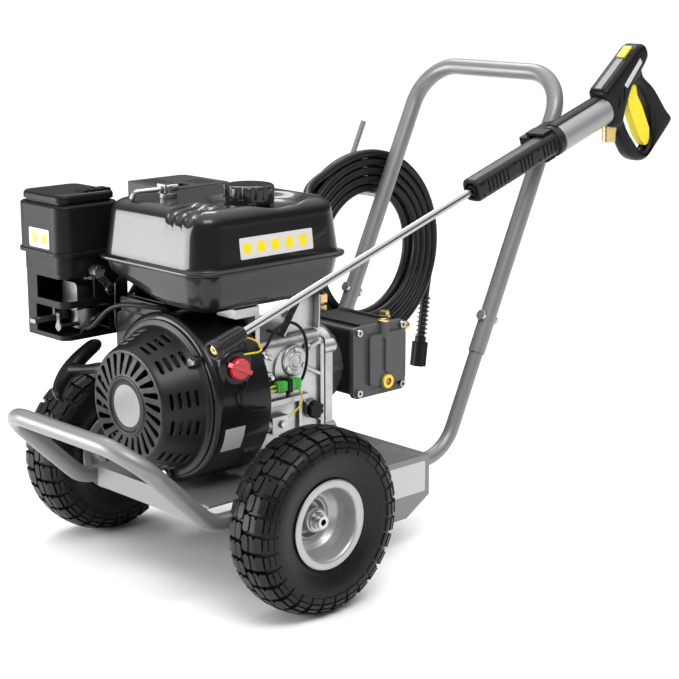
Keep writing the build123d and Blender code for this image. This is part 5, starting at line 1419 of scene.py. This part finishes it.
def lance_round(start, end, radius, steps=64):
    """A round bar along the lance, from start to end behind the nozzle."""
    return turned(rod(radius, start, end), LANCE_FRONT, LANCE_DIR, steps)


def flat_points(vectors):
    """Plain pairs of coordinates from an outline of vectors."""
    return [(spot.x, spot.y) for spot in vectors]


print("gun outlines:", len(GUN_OUTLINE), len(GUN_HEAD), len(GUN_OPENING))

# %% [markdown]
# The head and the loop overlap and make one shell. The sleeve's pocket is a little wider than the
# sleeve, so that it turns free. Two upright grooves mark the screw towers on each side.

# %% The shell and its pockets
SLEEVE_POCKET = (711.5, 830.6, 24.1)
TRIGGER_HALF = 7.6
INLET_PLACE = (677, LANCE_Y, 608.2)
INLET_R = 11.9
BUTTON_HALF = 12.3
BUTTON_WIDTH = 14.6
BUTTON_HEIGHTS = (-9, 20)
THROUGH = 40
GROOVES = [(676, 646), (688, 656)]
GROOVE_HALF = Vector((1.9, 0, 12))
GROOVE_DEPTH = 2.2
GROOVE_CORNERS = 16
loop_outline = flat_points(softened(GUN_OUTLINE, 13, 6))
head_outline = flat_points(softened(GUN_HEAD, 11, 6))
hole_outline = flat_points(softened(GUN_OPENING, 12, 6))
shell = joined([
    moulded_plate("gun_loop", loop_outline, [hole_outline], LOOP_HALF, LOOP_EDGE),
    moulded_plate("gun_head", head_outline, [], HEAD_HALF, HEAD_EDGE),
])
button_along = (BUTTON_SPOT - SPINE_START).dot(SPINE_DIR)
button_ends = (button_along - BUTTON_HALF, button_along + BUTTON_HALF)
pockets = [
    lance_round(*SLEEVE_POCKET), upright(TRIGGER_SLOT, TRIGGER_HALF), upright(hole_outline, THROUGH),
    turned(rod(INLET_R, 0, THROUGH), INLET_PLACE, (0, 0, -1), 48),
    spine_bar(*button_ends, BUTTON_WIDTH, *BUTTON_HEIGHTS),
]
for x, z in GROOVES:
    for side in (-1, 1):
        middle = Vector((x, LANCE_Y + side * (HEAD_HALF - GROOVE_DEPTH), z))
        outline = []
        for corner in range(GROOVE_CORNERS):
            spot = facing(2 * pi * corner / GROOVE_CORNERS)
            outline.append(middle + Vector((GROOVE_HALF.x * spot.x, 0, GROOVE_HALF.z * spot.y)))
        pockets.append(bar(outline, (0, side * 10, 0)))
gun_mesh = cut_away(mesh_of("gun_shell", *shell), pockets)
print("pockets and grooves in the gun:", len(pockets))

# %% [markdown]
# Inside the pocket runs the valve core, and the trigger's pin goes through the head. Both are added
# after the cuts, because they stand in the pockets. A grey insert lies along the gun's back.

# %% Valve core, pin, back insert and the finished gun
VALVE_CORE = (720, 850, 12.0)
PIN_PLACE = (722, LANCE_Y, 672)
PIN_R = 3
PIN_HALF = 9
WELD = 1e-6
INSERT_ENDS = (7, 76)
INSERT_WIDTH = 12.5
INSERT_HEIGHTS = (-1.5, 0.9)

pin_form = turned(rod(PIN_R, -PIN_HALF, PIN_HALF), PIN_PLACE, (0, 1, 0), 24)
add_form(gun_mesh, joined([lance_round(*VALVE_CORE), pin_form]), WELD)
smooth_piece(gun_mesh, "lance", "plastic_black", moulded_black, 38, "gun_body")
insert_grey = plain_finish(
    "insert_grey", grey(0.17), 0.4, drift=0.04, grain=1200, depth=0.02, worn_and_sheen=grey(0.25),
)
insert_form = spine_bar(*INSERT_ENDS, INSERT_WIDTH, *INSERT_HEIGHTS)
insert_mesh = mesh_of("gun_back_insert", *insert_form, smooth=False)
insert = add_piece("gun_back_insert", insert_mesh, "lance", "sleeve_grey")
break_edges(insert, 0.7)
wear(insert, insert_grey)

# %% [markdown]
# ## Lance grip
# The grip is two moulded halves round the lance tube, with a rounded square section. Rows of slots let
# the heat of the water out, small screws hold the halves, and a deep ring in the front face shows the
# tube going in. The section is carried along the lance and drawn in a little at the front edge; the
# rest is cut out of it.

# %% The grip with its slots and screw holes
GRIP_FRONT = 516.0
GRIP_REAR = 701.0
GRIP_HALF_WIDE = 16.6
GRIP_HALF_HIGH = 17.4
GRIP_CORNER = 12.0
GRIP_SHAPE = [(0, 0.86), (0.6, 0.92), (1.8, 0.97), (3.4, 1.0), (GRIP_REAR - GRIP_FRONT, 1.0)]
MOUTH_SECTION = [(7.6, -2), (12.6, -2), (12.6, 7), (7.6, 7)]
SLOT_GROUPS = [(20, 6), (94, 4), (148, 4)]
SLOT_PITCH = 8.5
SLOT_HALF = 9.2
SLOT_R = 1.75
SLOT_DEPTH = 3
SCREW_PLACES = [(9, 9), (9, -9), (84, 10), (138, 8), (138, -8)]
SCREW_R = 2.3
SCREW_DEPTH = 4
LANCE_UP = Vector((-sin(radians(LANCE_TILT)), 0, cos(radians(LANCE_TILT))))


def on_lance(distance, side, rise):
    """A place in millimetres: behind the nozzle, to the far side, and up across the lance."""
    return LANCE_FRONT + LANCE_DIR * distance + Vector((0, side, 0)) + LANCE_UP * rise


corners = []
for side, rise in ((1, 1), (-1, 1), (-1, -1), (1, -1)):
    corners.append(Vector((side * GRIP_HALF_WIDE, rise * GRIP_HALF_HIGH)))
grip_section = softened(corners, GRIP_CORNER, 9)
rows = []
for distance, share in GRIP_SHAPE:
    place = GRIP_FRONT + distance
    rows.append([at(*on_lance(place, spot.x * share, spot.y * share)) for spot in grip_section])

cuts = [turned(MOUTH_SECTION, on_lance(GRIP_FRONT, 0, 0), LANCE_DIR, 64)]
for side in (-1, 1):
    face = side * (GRIP_HALF_WIDE - SLOT_DEPTH)
    for start in [first + SLOT_PITCH * number for first, slots in SLOT_GROUPS for number in range(slots)]:
        middle = GRIP_FRONT + start + SLOT_R
        slot = slot_outline(SLOT_HALF, SLOT_R)
        cuts.append(bar([on_lance(middle - spot.y, face, spot.x) for spot in slot], (0, side * 8, 0)))
    for along_lance, rise in SCREW_PLACES:
        spot = on_lance(GRIP_FRONT + along_lance, side * (GRIP_HALF_WIDE - SCREW_DEPTH), rise)
        cuts.append(turned(rod(SCREW_R, 0, 9), spot, (0, side, 0), 24))
grip_mesh = cut_away(mesh_of("moulded_grip", *capped(rows)), cuts)
print("slots and holes in the grip:", len(cuts))

# %% [markdown]
# A collar closes the grip in front of the flow sleeve. It is turned, with rounded edges and a fine
# groove.

# %% Collar and finished grip
COLLAR_SECTION = [
    (6, 699), (19, 699), (23, 700), (24, 702), (24, 705), (23.3, 705.6), (23.3, 706.6), (24, 707.2),
    (24, 710), (22.8, 711.2), (6, 711.2),
]
add_form(grip_mesh, turned(softened(COLLAR_SECTION, 0.8, 2), LANCE_FRONT, LANCE_DIR, 72))
smooth_piece(grip_mesh, "lance", "plastic_black", guard_grey, 34, "lance_grip")

# %% [markdown]
# ## Small parts on the engine's near side
# What makes an engine look real is its small ware: a green plug with a black clip, its yellow leads, a
# connector, nuts and studs. The plug is a box with rounded edges, ribs and a collar; nuts are six-sided
# turned forms with a chamfer. Each sits on the crankcase or on the fan cover, so none hangs in the air.

# %% Green plug with its clip
PLUG_MIDDLE = Vector((70.0, -109.0, 279.5))
PLUG_LENGTH = 44.0
PLUG_RIBS = (-17, -12.5, 12.5, 17)


def rounded_box(middle, size, edge=0.0):
    """Points and faces of an upright box, with its corners along X rounded where an edge is given."""
    middle = Vector(middle)
    half = Vector(size) / 2
    signs = ((1, 1), (-1, 1), (-1, -1), (1, -1))
    outline = [Vector((half.y * across, half.z * up)) for across, up in signs]
    if edge:
        outline = softened(outline, edge, 4)
    start = middle.x - half.x
    return bar([(start, middle.y + spot.x, middle.z + spot.y) for spot in outline], (size[0], 0, 0))


def solid_piece(name, forms, body, slot, finish, edge=0.5, replaced=()):
    """A piece of joined forms with broken edges and one finish."""
    piece = add_piece(name, mesh_of(name, *joined(forms), smooth=False), body, slot, *replaced)
    break_edges(piece, edge)
    wear(piece, finish)
    return piece


plug_forms = [rounded_box(PLUG_MIDDLE, (PLUG_LENGTH, 11, 15), 3.5)]
for shift in PLUG_RIBS:
    plug_forms.append(rounded_box(PLUG_MIDDLE + Vector((shift, 0, 0)), (2.2, 13, 17), 4))
solid_piece("green_plug", plug_forms, "chassis", "wire", plug_green)
clip_forms = [
    rounded_box(PLUG_MIDDLE, (8, 15, 20), 2),
    rounded_box(PLUG_MIDDLE + Vector((0, 7.5, 0)), (11, 14, 9), 1),
    rounded_box(PLUG_MIDDLE + Vector((-1, -2, -12)), (5, 4, 10), 1),
]
solid_piece("plug_clip", clip_forms, "chassis", "plastic_black", moulded_black)
print("plug", PLUG_LENGTH, "mm long")

# %% [markdown]
# The leads are cords too: they leave the plug or the switch and end in another part of the engine.

# %% Leads of the plug and the switch
PLUG_LEAD = [(48, -109, 282), (41, -110, 283), (33, -109, 280), (26, -107, 279), (19, -105, 279)]
PLUG_LEAD_LOW = [(48, -109, 276), (42, -111, 275), (34, -110, 277), (27, -109, 275), (19, -107, 274)]
SWITCH_EARTH = [
    (-24, -123, 342), (-16, -130, 344), (0, -130, 343), (11, -124, 345), (12, -112, 354), (4, -92, 358),
    (4, -88, 354),
]
SWITCH_LEAD = [
    (-20, -122, 305), (-24, -132, 299), (-38, -134, 287), (-33, -134, 270), (-10, -134, 262),
    (12, -131, 262), (27, -119, 258), (30, -102, 252),
]
fixed_cord("plug_lead", PLUG_LEAD, 2.4, "wire", wire_yellow)
fixed_cord("plug_lead_low", PLUG_LEAD_LOW, 2.4, "wire", wire_yellow)
fixed_cord("switch_earth_lead", SWITCH_EARTH, 2.6, "wire", wire_yellow)
fixed_cord("switch_lead", SWITCH_LEAD, 3.0, "wire", moulded_black)

# %% [markdown]
# A breather hose leaves the shroud under the air filter, passes under the tank's front edge and ends in
# the fan cover.

# %% Breather hose
BREATHER = [
    (-92, 158, 333.5), (-92, 153, 345), (-92, 134, 347), (-90, 115, 364), (-86, 95, 383), (-80, 65, 392),
    (-68, 25, 392), (-52, 4, 391), (-45, -5, 382),
]
fixed_cord("breather_hose", BREATHER, 7.0, "rubber_black", hose_rubber)

# %% [markdown]
# Nuts and screw heads are turned with six steps, and a section with a small chamfer. A connector takes
# the switch's lead into the crankcase.

# %% Nuts, studs and the connector
NUT_SECTION = [(0, 0), (0.86, 0), (1, 0.14), (1, 0.86), (0.86, 1), (0, 1)]


def hex_nut(place, axis, radius, depth):
    """Points and faces of a six-sided nut or screw head that stands on a place."""
    return turned([(r * radius, d * depth) for r, d in NUT_SECTION], place, axis, 6)


def stud(place, axis, radius, length):
    """Points and faces of a plain round stud."""
    section = [(0, 0), (radius, 0), (radius, length - 0.6), (radius - 0.6, length), (0, length)]
    return turned(section, place, axis, 24)


NEAR = (0, -1, 0)
FRONT = (-1, 0, 0)
hardware = [
    hex_nut((44, -95, 294), NEAR, 7.5, 7), stud((44, -95, 294), NEAR, 3.6, 13),
    hex_nut((42, -102, 224), FRONT, 8.0, 7), stud((42, -102, 224), FRONT, 4.0, 13),
    hex_nut((60, -108, 224), NEAR, 5.5, 4), hex_nut((118, -95, 326), NEAR, 6, 5),
    hex_nut((40, -95, 326), NEAR, 6, 5),
]
solid_piece("case_hardware", hardware, "chassis", "steel", bright_zinc, 0.3)
connector = [rounded_box((31, -101, 250), (12, 14, 17), 2), rounded_box((31, -104, 240), (8, 8, 6), 1)]
solid_piece("switch_connector", connector, "chassis", "plastic_black", moulded_black)
print("small parts on the near side done")

# %% [markdown]
# ## Brass on the pump
# The pump's oil filler is a low brass plug with a dished top and a rib to turn it by, and the thermal
# valve at the rear ends in a round brass cap. Both are turned from a short section. The plug rides on
# its own body, so that it can turn.

# %% Filler plug and valve cap
FILLER_FOOT = (276.0, -93.0, 328.0)
FILLER_SECTION = [
    (0, 0), (5, 0), (5, 10.2), (8.6, 10.2), (9, 10.7), (9, 12.3), (8.4, 13), (6.6, 13), (5.6, 11.7),
    (0, 11.7),
]
FILLER_RIB = (10.4, 2.2, 1.8)
VALVE_END = (344.0, -62.0, 314.0)
VALVE_SECTION = [(0, 0), (5.4, 0), (5.4, 3), (7.2, 3.6), (7.6, 4.4), (7.6, 13), (6.8, 14), (0, 14)]

plug_rib = rounded_box(Vector(FILLER_FOOT) + Vector((0, 0, 12.2)), FILLER_RIB, 0.4)
filler_form = joined([turned(FILLER_SECTION, FILLER_FOOT, (0, 0, 1), 48), plug_rib])
smooth_piece(mesh_of("filler_plug", *filler_form), "pump_filler", "brass", brass, 40, "pump_oil_cap")
valve_form = turned(VALVE_SECTION, VALVE_END, (1, 0, 0), 48)
smooth_piece(mesh_of("valve_cap", *valve_form), "chassis", "brass", brass, 40)

# %% [markdown]
# A black strip lies over the flow sleeve and joins the grip's collar to the gun. It is a piece of a
# ring, drawn out along the lance, and it leaves a small gap so that the sleeve can turn under it.

# %% Strip over the flow sleeve
STRIP_RADII = (25.6, 23.8)
STRIP_HALF_ARC = 24
STRIP_ENDS = (709.0, 832.0)
STRIP_STEPS = 16

strip_outline = []
for radius, way in zip(STRIP_RADII, (1, -1)):
    for step in range(STRIP_STEPS + 1):
        lean = radians(way * STRIP_HALF_ARC * (2 * step / STRIP_STEPS - 1))
        strip_outline.append(on_lance(STRIP_ENDS[0], radius * sin(lean), radius * cos(lean)))
strip_form = bar(strip_outline, LANCE_DIR * (STRIP_ENDS[1] - STRIP_ENDS[0]))
solid_piece("sleeve_strip", [strip_form], "lance", "plastic_black", moulded_black, 0.4)
print("strip over the sleeve:", STRIP_ENDS[1] - STRIP_ENDS[0], "mm")

# %% [markdown]
# ## Air duct and control plate
# Air from the fan goes over the cylinder. A hood on the fan cover's duct closes the way up to the tank, and
# a thin pressed plate beside it carries the engine's controls, with a notch that lets the fuel line
# through. Both are dark sheet that stops the eye from looking straight through. The shroud under the air
# filter gets a dark sheet behind its windows: painted shade, standing for the shadow inside the shroud.

# %% Hood, control plate and a dark sheet of painted shade
PLATE_NEAR = 115.6
PLATE_OUTLINE = [
    (-58, 340), (38, 340), (44, 352), (44, 412), (34, 424), (-25, 424), (-25, 380), (-38, 380),
    (-38, 424), (-50, 424), (-60, 412), (-62, 352),
]
HOOD_MIDDLE = (-19, 61, 383)
HOOD_SIZE = (74, 102, 22)
HOOD_RIB = (5, 102, 23.4)
HOOD_RIBS = (-24, 0, 24)
HOOD_EDGE = 7
SHADE_SHEET_MIDDLE = (-29.7, 211, 378)
SHADE_SHEET_SIZE = (2.8, 78, 90)

plate_form = bar([(x, PLATE_NEAR, z) for x, z in PLATE_OUTLINE], (0, 3, 0))
hood_forms = [rounded_box(HOOD_MIDDLE, HOOD_SIZE, HOOD_EDGE)]
for shift in HOOD_RIBS:
    hood_forms.append(rounded_box(Vector(HOOD_MIDDLE) + Vector((shift, 0, 0.8)), HOOD_RIB, HOOD_EDGE))
solid_piece("duct_hood", hood_forms, "chassis", "engine_black", engine_black, 1.2)
solid_piece("control_plate", [plate_form], "chassis", "engine_black", engine_black, 0.6)
# Painted shade: a dark sheet behind the shroud's windows stands for the shadow inside it.
solid_piece(
    "shroud_shade_sheet", [rounded_box(SHADE_SHEET_MIDDLE, SHADE_SHEET_SIZE)], "chassis", "plastic_black",
    moulded_black,
)
print("duct and shroud closed")

# %% [markdown]
# ## Relief on the castings
# A casting is never one flat wall. A turned bearing cap with three screws sits over the boss, slanting
# ribs run from it to the flange, and a dark gasket shows between case and cover. The steel stay under
# the tank gets folded edges, which is what makes thin sheet stiff. They are small forms laid on the CAD
# walls.

# %% Bearing cap, ribs, gasket and folded stay
CASE_WALL = -95.0
CAP_PLACE = (92, CASE_WALL - 2.5, 310)
CAP_SECTION = [
    (0, 4.2), (8, 4.2), (9.2, 5.6), (12.5, 5.6), (13.4, 4.4), (20, 4.0), (22.5, 2.6), (23, 0), (0, 0),
]
RIB_LINES = [
    ((112, 322), (143, 330)), ((112, 298), (143, 282)), ((52, 318), (30, 334)), ((110, 250), (143, 214)),
]
STAY_EDGE = [((82, 345), (118, 397)), ((150, 378), (150, 397)), ((148, 347), (150, 378))]
SCREW_CIRCLE = 17
SCREW_ANGLES = (90, 210, 330)
GASKET_X = 149.2
GASKET_THICK = 1.6
GASKET_CORNERS = [(-100.7, 159.3), (80.7, 159.3), (80.7, 336.7), (-100.7, 336.7)]


def wall_rib(start, end, near, depth, width):
    """A rib on an upright wall from one (x, z) place to another, standing out towards the near side."""
    begin = Vector((start[0], near, start[1]))
    finish = Vector((end[0], near, end[1]))
    across = (finish - begin).normalized().cross(Vector((0, 1, 0))) * width / 2
    return bar([begin - across, finish - across, finish + across, begin + across], (0, -depth, 0))


case_forms = [turned(softened(CAP_SECTION, 0.8, 2), CAP_PLACE, NEAR, 64)]
for start, end in RIB_LINES:
    case_forms.append(wall_rib(start, end, CASE_WALL + 1, 6, 5))
solid_piece("case_relief", case_forms, "chassis", "cast_aluminium", cast_aluminium, 0.6)
cap_screws = []
for turn in SCREW_ANGLES:
    spot = SCREW_CIRCLE * facing(radians(turn))
    cap_screws.append(hex_nut(Vector(CAP_PLACE) + Vector((spot.x, -3.6, spot.y)), NEAR, 3.4, 2.6))
solid_piece("cap_screws", cap_screws, "chassis", "steel", bright_zinc, 0.2)
gasket_outline = [(GASKET_X, spot.x, spot.y) for spot in softened(GASKET_CORNERS, 12.5, 6)]
gasket = bar(gasket_outline, (GASKET_THICK, 0, 0))
solid_piece("case_gasket", [gasket], "chassis", "plastic_black", moulded_black, 0.2)
stay_forms = [wall_rib(start, end, -77, 13, 2.6) for start, end in STAY_EDGE]
solid_piece("stay_folds", stay_forms, "chassis", "steel", cast_aluminium, 0.4)
print("relief pieces:", len(case_forms) + len(cap_screws) + len(stay_forms) + 1)

# %% [markdown]
# ## Bare plates
# Thin satin plates sit on the tank's side, the filter's front, the fan drum, the starter's middle, the
# tray and its skirt, and the gun. They carry no print, only a row of plain yellow tiles on the two that
# show most. A flat one is a rounded outline with half a millimetre of thickness; the one on the drum is
# bent round it in small steps; the tank's leans with the wall behind it. The tiles are a choice by
# place in the finish.

# %% Flat and bent plates
PLATE_THICK = 0.5
BEND_STEPS = 12
TILE_FROM = (0.02, 0.04)
TILE_TO = (0.60, 0.62)
TILE_EDGE = 0.15
TILE_YELLOW = (0.80, 0.60, 0.01, 1)


def rounded_outline(corners, radius=2.5):
    """Four flat corners with rounded ones in their place."""
    return flat_points(softened([Vector(corner) for corner in corners], radius, 4))


def tank_wall_y(z):
    """How far out the tank's near wall stands at a height."""
    return TANK_Y - TANK_WIDTH / 2 + WALL_INSET + 6.9 * (z - TANK_SEAM_Z - FLANGE_RISE) / 56


def bent_plate(start, end, first, last, radius):
    """A plate round the crankshaft between two x and two angles, in degrees below the near side."""
    outer = radius + PLATE_THICK
    rows = []
    for step in range(BEND_STEPS + 1):
        turn = radians(first + (last - first) * step / BEND_STEPS)
        row = []
        for x, reach in ((start, radius), (end, radius), (end, outer), (start, outer)):
            row.append(at(x, CRANK_Y - reach * cos(turn), CRANK_Z - reach * sin(turn)))
        rows.append(row)
    return capped(rows)


def tiled_finish(name, axis, start, pitch, low, high):
    """Satin white with plain yellow tiles in a row along an axis, between two heights in millimetres."""
    material, shader, place = blank_finish(name, specular_ior_level=0.4)
    level = place.node("SeparateXYZ", {}, {"Vector": place}, output="Z")
    run = place.node("SeparateXYZ", {}, {"Vector": place}, output=axis)
    step = place.maths("FRACT", (run - mm(start)) * (1000 / pitch), 0.0)
    across = step.above(*TILE_FROM) * (1 - step.above(*TILE_TO))
    over_foot = level.above(mm(low - TILE_EDGE), mm(low + TILE_EDGE))
    over_head = level.above(mm(high - TILE_EDGE), mm(high + TILE_EDGE))
    tile = across * (over_foot * (1 - over_head))
    place.feed(shader.inputs["Base Color"], tile.mix(grey(0.56), TILE_YELLOW))
    place.feed(shader.inputs["Roughness"], 0.26 + 0.1 * noise(place, 40))
    return material


plate_white = plain_finish(
    "plate_satin_white", grey(0.50), 0.3, drift=0.03, grain=600, depth=0.01, corner=0.3,
    specular_ior_level=0.4,
)
plate_grey = plain_finish(
    "plate_satin_grey", grey(0.26), 0.3, drift=0.04, grain=900, depth=0.01, corner=0.3, metallic=0.5,
)
tank_plate = rounded_outline([(-14, 470), (119, 470), (119, 499), (-14, 499)])
filter_plate = rounded_outline([(176, 461), (226, 461), (226, 489), (176, 489)])
skirt_plate = rounded_outline([(190, 87), (293, 87), (293, 134), (190, 134)])
tray_plate = rounded_outline([(206, -158), (288, -158), (288, -82), (206, -82)])
gun_plate = rounded_outline([(687.5, 671), (695.5, 665.5), (731, 704), (725, 711)], 1.5)
tank_form = bar([(x, tank_wall_y(z) + 0.3, z) for x, z in tank_plate], (0, -PLATE_THICK - 0.3, 0))
filter_form = bar([(-129.8, y, z) for y, z in filter_plate], (-PLATE_THICK, 0, 0))
white_forms = [
    bar([(x, -165.8, z) for x, z in skirt_plate], (0, -PLATE_THICK, 0)),
    bent_plate(-58, -23, 12, 29.5, 120.8),
]
HUB_SECTION = [(0, 0.4), (29.4, 0.4), (30, 0), (30, -0.4), (0, -0.4)]
grey_forms = [
    bar([(x, y, 142.9) for x, y in tray_plate], (0, 0, PLATE_THICK)),
    turned(HUB_SECTION, CRANK_FACE, (-1, 0, 0), 72),
]
tank_tiles = tiled_finish("tank_plate_tiles", "X", at(-9.5, 0, 0).x * 1000, 25.4, 477, 492)
filter_tiles = tiled_finish("filter_plate_tiles", "Y", 179.5, 24, 467.5, 482.5)
solid_piece("tank_plate", [tank_form], "chassis", "steel", tank_tiles, 0.15)
solid_piece("filter_plate", [filter_form], "chassis", "steel", filter_tiles, 0.15)
solid_piece("white_plates", white_forms, "chassis", "steel", plate_white, 0.15)
solid_piece("grey_plates", grey_forms, "chassis", "steel", plate_grey, 0.15)
gun_side = bar([(x, LANCE_Y - HEAD_HALF + 0.3, z) for x, z in gun_plate], (0, -PLATE_THICK, 0))
solid_piece("gun_plate", [gun_side], "lance", "sleeve_grey", plate_white, 0.15)
print("plates:", 3 + len(white_forms) + len(grey_forms))
